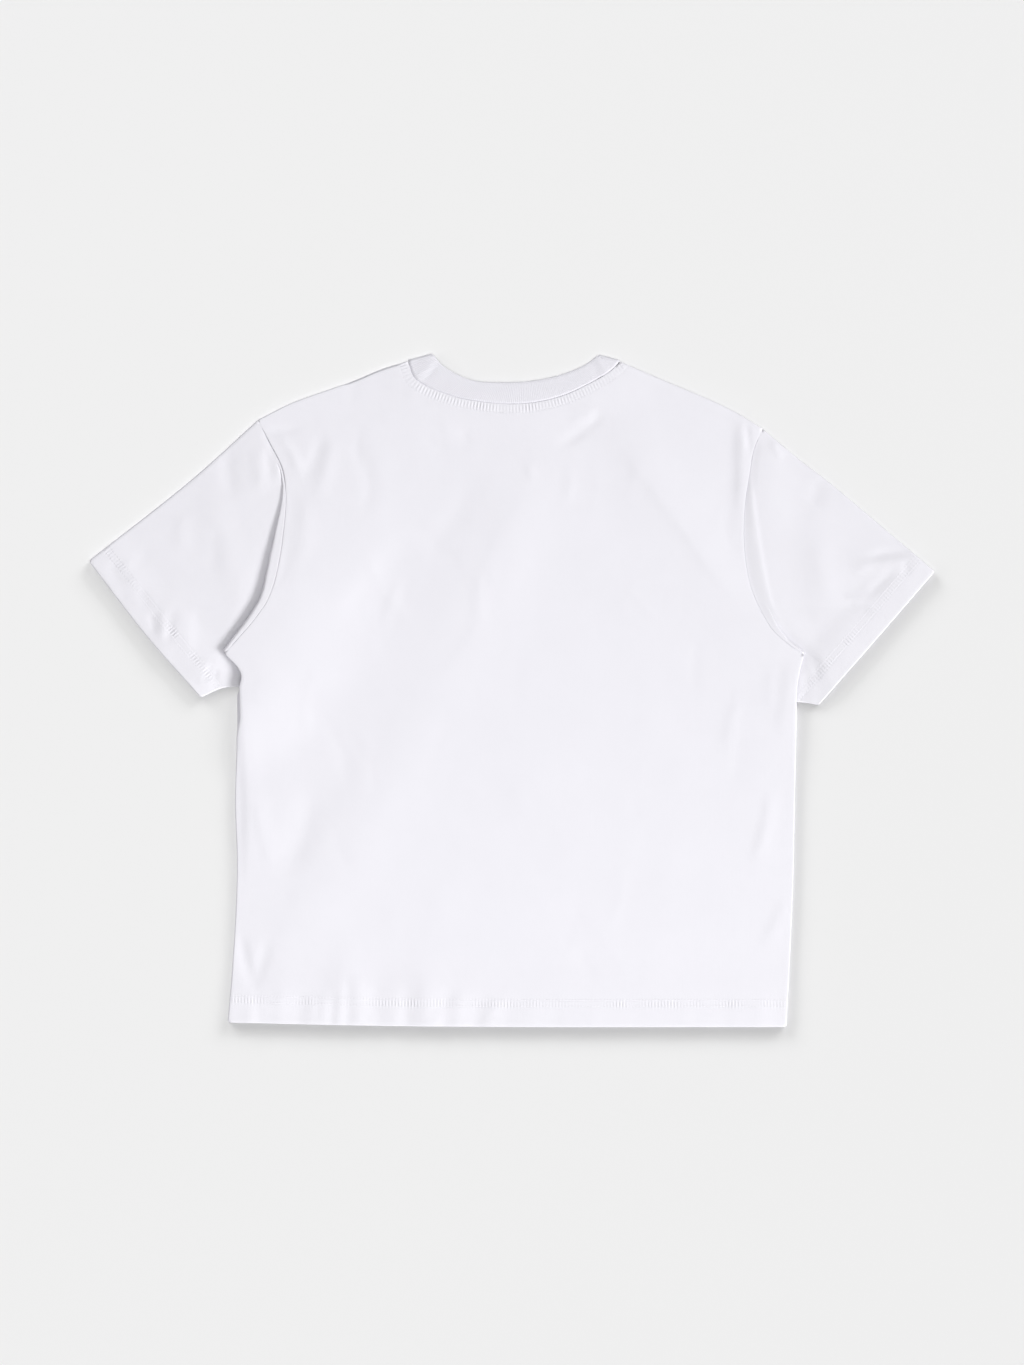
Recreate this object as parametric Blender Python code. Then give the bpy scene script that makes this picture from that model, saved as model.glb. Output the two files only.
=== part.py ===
"""A plain jersey t-shirt, laid flat on its front with its back upwards.

The row frame has its origin on the surface that the shirt lies on, under the middle of the shirt.
X runs across the shirt, Y from the hem to the neck, Z up. All sizes are in metres.

Every piece is one sheet of cloth, given by the middle of its wall and thickened by a Solidify modifier.
A sheet is made of grids of points. A panel is a patch between four edges, and what turns at an edge,
such as a hem, a folded side or the pleat beside an armhole, is a strip of rows that starts on that edge.
"""

import math

import bmesh
import bpy
import numpy as np
from mathutils import Vector

# The cloth, and how its plies lie on each other.
CLOTH = 0.0012
SEAM_GAP = 0.0003
PLY = CLOTH + SEAM_GAP
FLOOR_PLY = CLOTH / 2  # the middle of the cloth that lies on the surface
WELD = 0.00001

# Heights of the middle of the upper cloth.
BODY_LOFT = 0.0045
HEM_LOFT = FLOOR_PLY + 3 * PLY + 0.0002
NECK_LOFT = HEM_LOFT
SLEEVE_LOFT = 0.0040
TUCK_LOFT = 0.0023  # the sleeve's upper ply where the body lies on it
PLEAT_LOFT = 0.0068  # the body where a pleat lies under it
OVERHANG_Z = 0.0039  # the end of the body's folded edge where it lies on a sleeve
SIDE_SEAM_Z = 0.0026

# The folds at the sides and shoulders, and the tighter one that starts at the underarm.
EDGE_RADIUS = 0.0024
TUCK_RADIUS = 0.0011
FOLD_INSET = EDGE_RADIUS + CLOTH / 2
HEM_INSET = (PLY + CLOTH) / 2
UNDERARM_CLEARANCE = (0.0010, 0.0022)

# How far each change of height spreads, from where it is whole to where it ends. The hem's is given in Y.
HEM_RISE = (-0.308, -0.270)
NECK_REACH = (0.004, 0.045)
PLEAT_REACH = (0.018, 0.050)
OVERHANG_REACH = (0.020, 0.052)
TUCK_REACH = (0.008, 0.060)
UNDERARM_OPENS = (0.0, 0.7)

# How much of the folds' height is lost at the neck band and over a pleat.
STILL_AT_NECK = 0.6
STILL_OVER_PLEAT = 0.7

# Hems, turned in once and stitched.
BODY_HEM = 0.023
SLEEVE_HEM = 0.021
CUFF_REACH = (SLEEVE_HEM + 0.004, SLEEVE_HEM + 0.030)

# The turns of each fold, in degrees.
HEM_TURNS = (45, 90, 135, 180)
EDGE_TURNS = (30, 60, 90)
TURNED_SHARE = 0.75
FOLD_TURNS = (40, 90, 140)
OPEN_ANGLE = 60  # a pleat that turns less than this dies away into open cloth

# Rows and columns of the grids.
SIDE_ROWS = 11
SIDE_ROW_POWER = 1.25
OVERHANG_ROWS = 3
ARMHOLE_ROWS = 10
SHOULDER_COLUMNS = 6
NECK_COLUMNS = 14
NECK_ROWS = 3
TUCK_COLUMNS = 3
SLEEVE_ROWS = 8
FRONT_SIDE_ROWS = 9
FRONT_SHOULDER_COLUMNS = 4

UPWARDS = (0.0, 1.0)
DOWNWARDS = (0.0, -1.0)

# White cotton. The upper plies are seen in full light.
BACK_COLOUR = (0.90, 0.90, 0.93)
FRONT_COLOUR = (0.88, 0.88, 0.91)
SLEEVE_COLOUR = (0.89, 0.89, 0.92)
RIB_COLOUR = (0.87, 0.87, 0.90)

# The outline as the shirt lies, as (x, y). Each line goes through its points in a smooth curve.
HEM_LINE = ((-0.2835, -0.3320), (-0.1315, -0.3353), (0.0085, -0.3365), (0.2745, -0.3365))
NECK_SEAM = (
    (-0.1035, 0.3272), (-0.0980, 0.3125), (-0.0842, 0.3027), (-0.0675, 0.2962), (-0.0490, 0.2906),
    (-0.0046, 0.2855), (0.0249, 0.2873), (0.0527, 0.2943), (0.0805, 0.3073), (0.0989, 0.3184),
    (0.1082, 0.3270),
)
NECK_EDGE = (
    (-0.0800, 0.3363), (-0.0712, 0.3250), (-0.0585, 0.3165), (-0.0379, 0.3082), (-0.0120, 0.3064),
    (0.0157, 0.3073), (0.0435, 0.3123), (0.0619, 0.3184), (0.0767, 0.3258), (0.0882, 0.3350),
)
FRONT_NECK_DROP = 0.090
SCOOP_POWER = 0.75
NECK_BAND = 0.021
RIB_WALL = 0.0022
RIB_FOLD_RADIUS = 0.00185

LEFT = {
    "side": -1,
    "side_edge": (
        (-0.2835, -0.3320), (-0.2790, -0.2800), (-0.2750, -0.2130), (-0.2741, -0.1680),
        (-0.2760, -0.1120), (-0.2745, -0.0600), (-0.2740, -0.0280), (-0.2748, 0.0040),
    ),
    "overhang": ((-0.2748, 0.0040), (-0.2728, 0.0135), (-0.2768, 0.0235), (-0.2870, 0.0375)),
    "armhole": (
        (-0.2870, 0.0375), (-0.2795, 0.0444), (-0.2619, 0.0636), (-0.2507, 0.0780), (-0.2443, 0.0876),
        (-0.2371, 0.1052), (-0.2307, 0.1340), (-0.2275, 0.1580), (-0.2251, 0.1900), (-0.2283, 0.2200),
        (-0.2415, 0.2470), (-0.2535, 0.2696),
    ),
    "shoulder": (
        (-0.2535, 0.2696), (-0.2197, 0.2865), (-0.1815, 0.3003), (-0.1585, 0.3087), (-0.1278, 0.3215),
        (-0.1035, 0.3285),
    ),
    "sleeve_top": ((-0.2535, 0.2696), (-0.3197, 0.2100), (-0.4115, 0.1375), (-0.4223, 0.1290)),
    "cuff": ((-0.4223, 0.1290), (-0.3657, 0.0553), (-0.3105, -0.0080)),
    "underarm": ((-0.2748, 0.0040), (-0.2865, 0.0030), (-0.3105, -0.0080)),
    "front_armhole": (
        (-0.2690, 0.0035), (-0.2500, 0.0350), (-0.2330, 0.0650), (-0.2210, 0.1200), (-0.2200, 0.1750),
        (-0.2330, 0.2300), (-0.2535, 0.2696),
    ),
    # Where along the armhole the body starts to be lifted, and where it is lifted whole.
    "lifted_from": (0.12, 0.30),
    # The pleat from the shoulder (0) to the armpit (1): how far it shows outside the seam, how deep it
    # folds back under the body, and how far its cloth turns, from 0 where it lies open to 180 degrees.
    "pleat": {
        "along": (0.00, 0.10, 0.20, 0.30, 0.40, 0.50, 0.60, 0.70, 0.80, 0.90, 1.00),
        "width": (0.0000, 0.0080, 0.0060, 0.0075, 0.0095, 0.0096, 0.0085, 0.0060, 0.0050, 0.0040, 0.0025),
        "depth": (0.0000, 0.0000, 0.0000, 0.0100, 0.0200, 0.0210, 0.0190, 0.0170, 0.0200, 0.0260, 0.0290),
        "angle": (0, 0, 70, 180, 180, 180, 180, 180, 180, 180, 180),
    },
}
RIGHT = {
    "side": 1,
    "side_edge": (
        (0.2745, -0.3365), (0.2785, -0.2600), (0.2814, -0.1900), (0.2830, -0.1100), (0.2845, -0.0400),
        (0.2850, -0.0105),
    ),
    "overhang": ((0.2850, -0.0105), (0.2860, 0.0050), (0.2888, 0.0210), (0.2925, 0.0355)),
    "armhole": (
        (0.2925, 0.0355), (0.2755, 0.0465), (0.2618, 0.0588), (0.2512, 0.0750), (0.2405, 0.0983),
        (0.2341, 0.1260), (0.2320, 0.1580), (0.2330, 0.1850), (0.2373, 0.2135), (0.2420, 0.2400),
        (0.2511, 0.2607),
    ),
    "shoulder": (
        (0.2511, 0.2607), (0.2263, 0.2760), (0.2033, 0.2875), (0.1765, 0.2990), (0.1433, 0.3130),
        (0.1082, 0.3280),
    ),
    "sleeve_top": ((0.2511, 0.2607), (0.2885, 0.2295), (0.3142, 0.2100), (0.4229, 0.1185)),
    "cuff": ((0.4229, 0.1185), (0.3650, 0.0512), (0.3071, -0.0160)),
    "underarm": ((0.2850, -0.0105), (0.2960, -0.0130), (0.3071, -0.0160)),
    "front_armhole": (
        (0.2790, -0.0110), (0.2640, 0.0200), (0.2440, 0.0560), (0.2310, 0.1050), (0.2270, 0.1600),
        (0.2350, 0.2150), (0.2511, 0.2607),
    ),
    "lifted_from": (0.62, 0.86),
    "pleat": {
        "along": (0.00, 0.10, 0.20, 0.70, 0.80, 0.90, 1.00),
        "width": (0.0000, 0.0070, 0.0090, 0.0090, 0.0060, 0.0025, 0.0015),
        "depth": (0.0000, 0.0000, 0.0000, 0.0000, 0.0000, 0.0120, 0.0270),
        "angle": (0, 0, 0, 0, 70, 180, 180),
    },
}

# The largest folds of the upper cloth: a ridge, or a trough where the height is negative, from one end to the
# other, bowed sideways in its middle.
FOLD_END = 0.35  # the share of its height that a fold has left at its ends
FOLD_COLUMNS = ("start", "end", "bow", "half_width", "height")
BODY_FOLDS = (
    ((0.0300, 0.2300), (-0.0900, -0.0150), 0.012, 0.034, 0.0024),
    ((-0.0800, -0.0100), (-0.2500, -0.2900), -0.015, 0.032, 0.0021),
    ((0.1000, 0.2700), (0.2350, 0.0700), 0.010, 0.028, 0.0019),
    ((-0.1400, 0.2500), (-0.1900, 0.0800), -0.020, 0.024, 0.0018),
    ((-0.1950, 0.0300), (-0.2350, -0.1900), 0.022, 0.026, 0.0020),
    ((0.2450, 0.0200), (0.2350, -0.1250), -0.012, 0.018, 0.0018),
    ((-0.1630, -0.2600), (-0.1700, -0.3300), 0.000, 0.018, 0.0018),
    ((-0.0850, -0.2650), (-0.0700, -0.3350), 0.006, 0.020, 0.0014),
    ((0.0050, -0.0500), (0.0500, -0.1500), 0.010, 0.030, 0.0012),
)
SLEEVE_FOLDS = {
    -1: (
        ((-0.3000, 0.2000), (-0.2700, 0.1000), 0.004, 0.016, 0.0010),
        ((-0.3350, 0.0950), (-0.3550, 0.0300), -0.006, 0.014, 0.0013),
    ),
    1: (
        ((0.3000, 0.1800), (0.3300, 0.0500), 0.006, 0.022, 0.0008),
        ((0.3350, 0.1250), (0.3950, 0.1250), -0.004, 0.015, 0.0009),
    ),
}


def smoothstep(low, high, value):
    """0 below low, 1 above high, and a smooth rise between them."""
    share = np.clip((np.asarray(value, float) - low) / (high - low), 0.0, 1.0)
    return share * share * (3 - 2 * share)


def curve_through(points, per_span=12):
    """A smooth curve through the points, as many short chords."""
    knots = np.array(points, float)
    if len(knots) == 2:
        return knots[0] + np.linspace(0, 1, per_span + 1)[:, None] * (knots[1] - knots[0])
    padded = np.vstack([2 * knots[0] - knots[1], knots, 2 * knots[-1] - knots[-2]])
    steps = np.sqrt(np.linalg.norm(np.diff(padded, axis=0), axis=1))
    tangents = np.zeros_like(knots)
    for i in range(len(knots)):
        before, after = steps[i], steps[i + 1]
        slope_before = (padded[i + 1] - padded[i]) / before
        slope_after = (padded[i + 2] - padded[i + 1]) / after
        tangents[i] = (after * slope_before + before * slope_after) / (before + after)
    curve = [knots[:1]]
    t = np.linspace(0, 1, per_span + 1)[1:, None]
    for i in range(len(knots) - 1):
        span = steps[i + 1]
        curve.append(
            (2 * t**3 - 3 * t**2 + 1) * knots[i]
            + (t**3 - 2 * t**2 + t) * span * tangents[i]
            + (3 * t**2 - 2 * t**3) * knots[i + 1]
            + (t**3 - t**2) * span * tangents[i + 1]
        )
    return np.vstack(curve)


def lengths_along(points):
    """The length of the line up to each of its points, as a share of the whole."""
    steps = np.linalg.norm(np.diff(points, axis=0), axis=1)
    run = np.concatenate([[0.0], np.cumsum(steps)])
    return run / run[-1]


def resample(points, shares):
    """Points at these shares of a line's length."""
    run = lengths_along(points)
    return np.column_stack([np.interp(shares, run, points[:, axis]) for axis in range(points.shape[1])])


def sampled(points, count):
    """count + 1 points at equal steps of a smooth curve through the points."""
    return resample(curve_through(points), np.linspace(0, 1, count + 1))


def normals_towards(line, way):
    """Unit normals of a plan line, on the side that faces a direction."""
    along = np.gradient(line, axis=0)
    along /= np.linalg.norm(along, axis=1)[:, None]
    normals = np.column_stack([along[:, 1], -along[:, 0]])
    return normals * np.sign(normals @ np.array(way))[:, None]


def patch(bottom, top, left, right, across):
    """A grid of plan points between four lines that share their corners: rows from bottom to top."""
    across = across[None, :, None]
    up = (lengths_along(left) + lengths_along(right))[:, None, None] / 2
    between_ends = (1 - up) * bottom[None] + up * top[None]
    between_sides = (1 - across) * left[:, None] + across * right[:, None]
    corners = (
        (1 - up) * ((1 - across) * bottom[0] + across * bottom[-1])
        + up * ((1 - across) * top[0] + across * top[-1])
    )
    return between_ends + between_sides - corners


def distance_to_line(x, y, line):
    """How far plan points are from a line of short chords, and the share of its length that is nearest."""
    points = np.stack([np.asarray(x, float), np.asarray(y, float)], axis=-1)
    run = lengths_along(line)
    best = np.full(points.shape[:-1], np.inf)
    nearest = np.zeros(points.shape[:-1])
    for i in range(len(line) - 1):
        chord = line[i + 1] - line[i]
        share = np.clip(((points - line[i]) @ chord) / (chord @ chord), 0, 1)
        gap = np.linalg.norm(points - line[i] - share[..., None] * chord, axis=-1)
        closer = gap < best
        best = np.where(closer, gap, best)
        nearest = np.where(closer, run[i] + share * (run[i + 1] - run[i]), nearest)
    return best, nearest


def fold_heights(x, y, folds):
    """What a table of folds adds to the height of the cloth at plan points."""
    total = np.zeros(np.shape(x))
    for row in folds:
        fold = dict(zip(FOLD_COLUMNS, row))
        start, end = np.array(fold["start"]), np.array(fold["end"])
        along = end - start
        length = np.linalg.norm(along)
        along = along / length
        share = ((x - start[0]) * along[0] + (y - start[1]) * along[1]) / length
        aside = (x - start[0]) * along[1] - (y - start[1]) * along[0]
        inside = np.clip(share, 0, 1)
        aside = aside - fold["bow"] * np.sin(math.pi * inside)
        beyond = (share - inside) * length
        reach = np.sqrt(aside**2 + beyond**2) / fold["half_width"]
        swell = FOLD_END + (1 - FOLD_END) * np.sin(math.pi * inside)
        total = total + fold["height"] * np.exp(-(reach**2)) * swell
    return total


def pleat_lift(x, y, side):
    """How far the pleat and the tucked sleeve lift the body, from 0 to 1."""
    armhole = curve_through(side["armhole"][::-1])
    away, along = distance_to_line(x, y, armhole)
    overhang_away, _ = distance_to_line(x, y, curve_through(side["overhang"]))
    beside_armhole = smoothstep(*side["lifted_from"], along) * (1 - smoothstep(*PLEAT_REACH, away))
    beside_overhang = 1 - smoothstep(*OVERHANG_REACH, overhang_away)
    return np.maximum(beside_armhole, beside_overhang)


def body_height(x, y):
    """The middle of the back panel above the surface."""
    x, y = np.asarray(x, float), np.asarray(y, float)
    hem = 1 - smoothstep(*HEM_RISE, y)
    neck_away, _ = distance_to_line(x, y, curve_through(NECK_SEAM))
    neck = 1 - smoothstep(*NECK_REACH, neck_away)
    plain = BODY_LOFT + (HEM_LOFT - BODY_LOFT) * hem + (NECK_LOFT - BODY_LOFT) * neck
    waves = fold_heights(x, y, BODY_FOLDS) * (1 - STILL_AT_NECK * neck)
    lift = np.maximum(pleat_lift(x, y, LEFT), pleat_lift(x, y, RIGHT))
    return plain + (PLEAT_LOFT - plain) * lift + waves * (1 - STILL_OVER_PLEAT * lift)


def sleeve_height(x, y, side):
    """The middle of a sleeve's upper ply, away from its armhole."""
    cuff_away, _ = distance_to_line(x, y, curve_through(side["cuff"]))
    cuff = 1 - smoothstep(*CUFF_REACH, cuff_away)
    plain = SLEEVE_LOFT + (HEM_LOFT - SLEEVE_LOFT) * cuff
    return plain + fold_heights(x, y, SLEEVE_FOLDS[side["side"]])


def with_height(plan, height):
    """Plan points made into points in space."""
    return np.concatenate([plan, np.broadcast_to(height, plan.shape[:-1])[..., None]], axis=-1)


def edge_strip(edge, outward, end_height, reach=1.0):
    """Rows that turn outwards from an edge over a quarter of a circle, and then run straight to a height.

    reach is 1 for a whole turn, and 0 where the turn has died away to nothing.
    """
    fall = (np.broadcast_to(end_height, edge.shape[:1]) - edge[:, 2]) * reach
    radius = np.broadcast_to(EDGE_RADIUS * reach, edge.shape[:1])
    rows = [edge]
    for turn in EDGE_TURNS:
        angle = math.radians(turn)
        row = edge.copy()
        row[:, :2] += (radius * math.sin(angle))[:, None] * outward
        row[:, 2] += TURNED_SHARE * fall * (1 - math.cos(angle))
        rows.append(row)
    last = rows[-1].copy()
    last[:, 2] = edge[:, 2] + fall
    rows.append(last)
    return np.array(rows)


def hem_strip(edge, outward, depth, height_of, up):
    """Rows that turn a hem in: round the edge, and back along the inside of the cloth."""
    rows = [edge]
    radius = PLY / 2
    for turn in HEM_TURNS:
        angle = math.radians(turn)
        row = edge.copy()
        row[:, :2] += radius * math.sin(angle) * outward
        row[:, 2] += up * radius * (1 - math.cos(angle))
        rows.append(row)
    plan = edge[:, :2] - depth * outward
    rows.append(with_height(plan, height_of(plan[:, 0], plan[:, 1]) + up * PLY))
    return np.array(rows)


def fold_strip(upper, lower, outward, radius=EDGE_RADIUS):
    """Rows that join the edges of an upper and a lower ply round a fold."""
    radius = np.broadcast_to(radius, upper.shape[:1])
    rows = [upper]
    for turn in FOLD_TURNS:
        angle = math.radians(turn)
        share = (1 - math.cos(angle)) / 2
        row = upper + share * (lower - upper)
        row[:, :2] += (radius * math.sin(angle))[:, None] * outward
        rows.append(row)
    rows.append(lower)
    return np.array(rows)


def cloth_object(name, grids, colour, thickness=CLOTH):
    """One piece of cloth: the grids welded into a sheet, and thickened."""
    mesh = bmesh.new()
    for grid in grids:
        corners = [[mesh.verts.new(Vector(point)) for point in row] for row in grid]
        for near, far in zip(corners, corners[1:]):
            for i in range(len(near) - 1):
                mesh.faces.new((near[i], near[i + 1], far[i + 1], far[i]))
    bmesh.ops.remove_doubles(mesh, verts=mesh.verts, dist=WELD)
    bmesh.ops.dissolve_degenerate(mesh, edges=mesh.edges, dist=WELD)
    bmesh.ops.recalc_face_normals(mesh, faces=mesh.faces)
    data = bpy.data.meshes.new(name)
    mesh.to_mesh(data)
    mesh.free()
    data.shade_smooth()
    obj = bpy.data.objects.new(name, data)
    bpy.context.scene.collection.objects.link(obj)
    wall = obj.modifiers.new("cloth wall", "SOLIDIFY")
    wall.thickness = thickness
    wall.offset = 0.0
    wall.use_even_offset = True
    wall.use_quality_normals = True
    obj.data.materials.append(cloth_material(name, colour))
    return obj


def cloth_material(name, colour):
    """White cotton: matt, with no metal in it."""
    material = bpy.data.materials.new(name + " cloth")
    material.use_nodes = True
    shader = material.node_tree.nodes["Principled BSDF"]
    shader.inputs["Base Color"].default_value = (*colour, 1.0)
    shader.inputs["Roughness"].default_value = 0.9
    shader.inputs["Metallic"].default_value = 0.0
    return material


def way_out(side):
    """The direction across the shirt, away from its middle."""
    return side["side"], 0.0


def shoulder_outward(side):
    """The way out of the shirt at the shoulder point, shared by the body and the sleeve."""
    shoulder = normals_towards(curve_through(side["shoulder"]), UPWARDS)[0]
    sleeve_top = normals_towards(curve_through(side["sleeve_top"]), UPWARDS)[0]
    between = shoulder + sleeve_top
    return between / np.linalg.norm(between)


def armhole_line(side):
    """The back armhole seam from the armpit to the shoulder point, where it ends inside the folded edge."""
    line = sampled(side["armhole"], ARMHOLE_ROWS)
    line[0] -= CLOTH * np.array(way_out(side))
    line[-1] -= FOLD_INSET * shoulder_outward(side)
    return line


def front_armhole_line(side):
    """The front armhole seam, hidden below, from the armpit to the same shoulder point."""
    line = sampled(side["front_armhole"], ARMHOLE_ROWS + TUCK_COLUMNS)
    line[-1] = armhole_line(side)[-1]
    return line


def shoulder_line(side, columns):
    """The line where the shoulder starts to turn, from the shoulder point to the neck, and its way out."""
    line = sampled(side["shoulder"], columns)
    outward = normals_towards(line, UPWARDS)
    outward[0] = shoulder_outward(side)
    return line - FOLD_INSET * outward, outward


def neck_point(side):
    """Where the neck seam meets the shoulder."""
    return shoulder_line(side, SHOULDER_COLUMNS)[0][-1]


def back_neck_line():
    """The back neck seam, from the left shoulder to the right."""
    line = sampled(NECK_SEAM, NECK_COLUMNS)
    line[0], line[-1] = neck_point(LEFT), neck_point(RIGHT)
    return line


def front_neck_line():
    """The front neck seam: a round scoop that hangs from the two neck points."""
    left, right = neck_point(LEFT), neck_point(RIGHT)
    share = np.linspace(-1, 1, NECK_COLUMNS + 1)
    along = (left + right) / 2 + share[:, None] * (right - left) / 2
    drop = FRONT_NECK_DROP * (1 - share**2) ** SCOOP_POWER
    return along - np.column_stack([np.zeros_like(drop), drop])


def panel_side(side, edge, armhole):
    """The side of a body panel: its folded edge, then its armhole, and the way out along the edge."""
    outward = normals_towards(edge, way_out(side))
    inner = edge - FOLD_INSET * outward
    armhole = armhole - SEAM_GAP / 2 * normals_towards(armhole, way_out(side))
    inner[-1] = armhole[0]
    return np.vstack([inner, armhole[1:]]), outward


def side_rows(side, count):
    """The visible side edge of the body, with closer rows near the armpit."""
    shares = 1 - (1 - np.linspace(0, 1, count + 1)) ** SIDE_ROW_POWER
    return resample(curve_through(side["side_edge"]), shares)


def body_panel(name, colour, sides, neck, shoulder_columns, height_of, up):
    """A body panel: a sheet, its folded sides and shoulders, and its hem.

    up is 1 where the edges turn up towards the other panel, and -1 where they turn down.
    """
    neck = neck.copy()
    neck[1:-1] += SEAM_GAP / 2 * normals_towards(neck, DOWNWARDS)[1:-1]
    (left, left_out), (right, right_out) = sides
    shoulders = [shoulder_line(side, shoulder_columns) for side in (LEFT, RIGHT)]
    top = np.vstack([shoulders[0][0][:-1], neck, shoulders[1][0][::-1][1:]])
    top[0], top[-1] = left[-1], right[-1]
    across = (top[:, 0] - top[0, 0]) / (top[-1, 0] - top[0, 0])
    hem = resample(curve_through(HEM_LINE), across)
    hem[:, 1] += HEM_INSET
    hem[0, 0], hem[-1, 0] = left[0, 0], right[0, 0]
    left[0], right[0] = hem[0], hem[-1]
    plan = patch(hem, top, left, right, across)
    sheet = with_height(plan, height_of(plan[..., 0], plan[..., 1]))

    seam_height = SIDE_SEAM_Z - up * SEAM_GAP
    grids = [sheet]
    for edge, outward in ((sheet[:, 0], left_out), (sheet[:, -1], right_out)):
        reach = np.ones(len(outward))
        reach[-1] = 0.0
        ends = np.full(len(outward), seam_height)
        ends[SIDE_ROWS:] = OVERHANG_Z
        grids.append(edge_strip(edge[: len(outward)], outward, ends, reach))
    for edge, (_, outward) in zip((sheet[-1], sheet[-1, ::-1]), shoulders):
        grids.append(edge_strip(edge[: len(outward)], outward, seam_height))
    grids.append(hem_strip(sheet[0], np.tile(DOWNWARDS, (len(hem), 1)), BODY_HEM, height_of, up))
    return cloth_object(name, grids, colour)


def back_panel():
    """The back, which lies on top, and over the sleeves at the armpits."""
    sides = []
    for side in (LEFT, RIGHT):
        overhang = sampled(side["overhang"], OVERHANG_ROWS)
        edge = np.vstack([side_rows(side, SIDE_ROWS), overhang[1:]])
        sides.append(panel_side(side, edge, armhole_line(side)))
    return body_panel("back_panel", BACK_COLOUR, sides, back_neck_line(), SHOULDER_COLUMNS, body_height, -1)


def front_height(x, y):
    """The front lies flat on the surface."""
    return np.full(np.shape(x), FLOOR_PLY)


def front_panel():
    """The front, which lies on the surface."""
    sides = []
    for side in (LEFT, RIGHT):
        sides.append(panel_side(side, side_rows(side, FRONT_SIDE_ROWS), front_armhole_line(side)))
    neck = front_neck_line()
    return body_panel("front_panel", FRONT_COLOUR, sides, neck, FRONT_SHOULDER_COLUMNS, front_height, 1)


def turned_path(radius, run, turned):
    """How far inwards and upwards each point of a fold lies from where the cloth starts to turn.

    The cloth turns up through an angle on an arc, runs straight, and turns back on an arc of the same radius.
    """
    steps = []
    for share in (0.0, 0.5, 1.0):
        bend = share * turned
        steps.append((radius * np.sin(bend), radius * (1 - np.cos(bend))))
    inward_whole = 2 * radius * np.sin(turned) + run * np.cos(turned)
    upward_whole = 2 * radius * (1 - np.cos(turned)) + run * np.sin(turned)
    return steps + [(inward_whole - inward, upward_whole - upward) for inward, upward in reversed(steps)]


def pleat_rows(side, seam, seam_out, seam_height):
    """Rows from where the sleeve turns back under the body, round the pleat's fold, and in to the seam.

    At 180 degrees the cloth lies in a full pleat of four plies, and at 0 it lies open.
    """
    table = side["pleat"]
    along = lengths_along(seam)
    columns = ("width", "depth", "angle")
    width, depth, angle = (np.interp(along, table["along"], table[column]) for column in columns)
    turned = np.radians(angle)
    rise = smoothstep(0, 180, angle) * (seam_height - TUCK_LOFT)
    radius = rise / 4
    pleated = angle == 180
    run = np.where(pleated, depth, 0.0)
    slanted = (angle > 0) & ~pleated
    run[slanted] = rise[slanted] / 2 / np.tan(turned[slanted] / 2)

    path = turned_path(radius, run, turned)
    shown = width - np.where(pleated, radius, 0.0)
    whole_inward = path[-1][0]
    shaped = smoothstep(0, OPEN_ANGLE, angle)
    rows = []
    for k, (inward, upward) in enumerate(path):
        share = k / len(path)
        open_reach = width * (1 - share)
        reach = open_reach + shaped * (shown + whole_inward - inward - open_reach)
        height = seam_height - rise + shaped * upward + (1 - shaped) * share * rise
        rows.append(with_height(seam + reach[:, None] * seam_out, height))
    rows.append(with_height(seam, seam_height))
    return np.array(rows)


def sleeve_edges(side, columns):
    """The folded top of a sleeve, its underarm fold and its cuff, each with the way out along it."""
    top = sampled(side["sleeve_top"], SLEEVE_ROWS)
    top_out = normals_towards(top, UPWARDS)
    top_out[0] = shoulder_outward(side)
    under = sampled(side["underarm"], SLEEVE_ROWS)
    under_out = normals_towards(under, DOWNWARDS)
    cuff = sampled(side["cuff"], columns)
    cuff_out = normals_towards(cuff, way_out(side))

    opened = smoothstep(*UNDERARM_OPENS, lengths_along(under))
    under_radius = TUCK_RADIUS + (EDGE_RADIUS - TUCK_RADIUS) * opened
    top = top - FOLD_INSET * top_out
    under = under - (under_radius + CLOTH / 2)[:, None] * under_out
    cuff = cuff - HEM_INSET * cuff_out
    cuff[0] = top[-1] = top[-1] - HEM_INSET * cuff_out[0]
    cuff[-1] = under[-1] = under[-1] - HEM_INSET * cuff_out[-1]
    return (top, top_out), (under, under_out, under_radius), (cuff, cuff_out)


def sleeve_ply(start, top, under, cuff):
    """Plan points of one ply of a sleeve, from its start at the armhole to its cuff."""
    top, under = top.copy(), under.copy()
    top[0], under[0] = start[0], start[-1]
    across = (lengths_along(start) + lengths_along(cuff)) / 2
    return patch(start, cuff, top, under, across)


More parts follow.
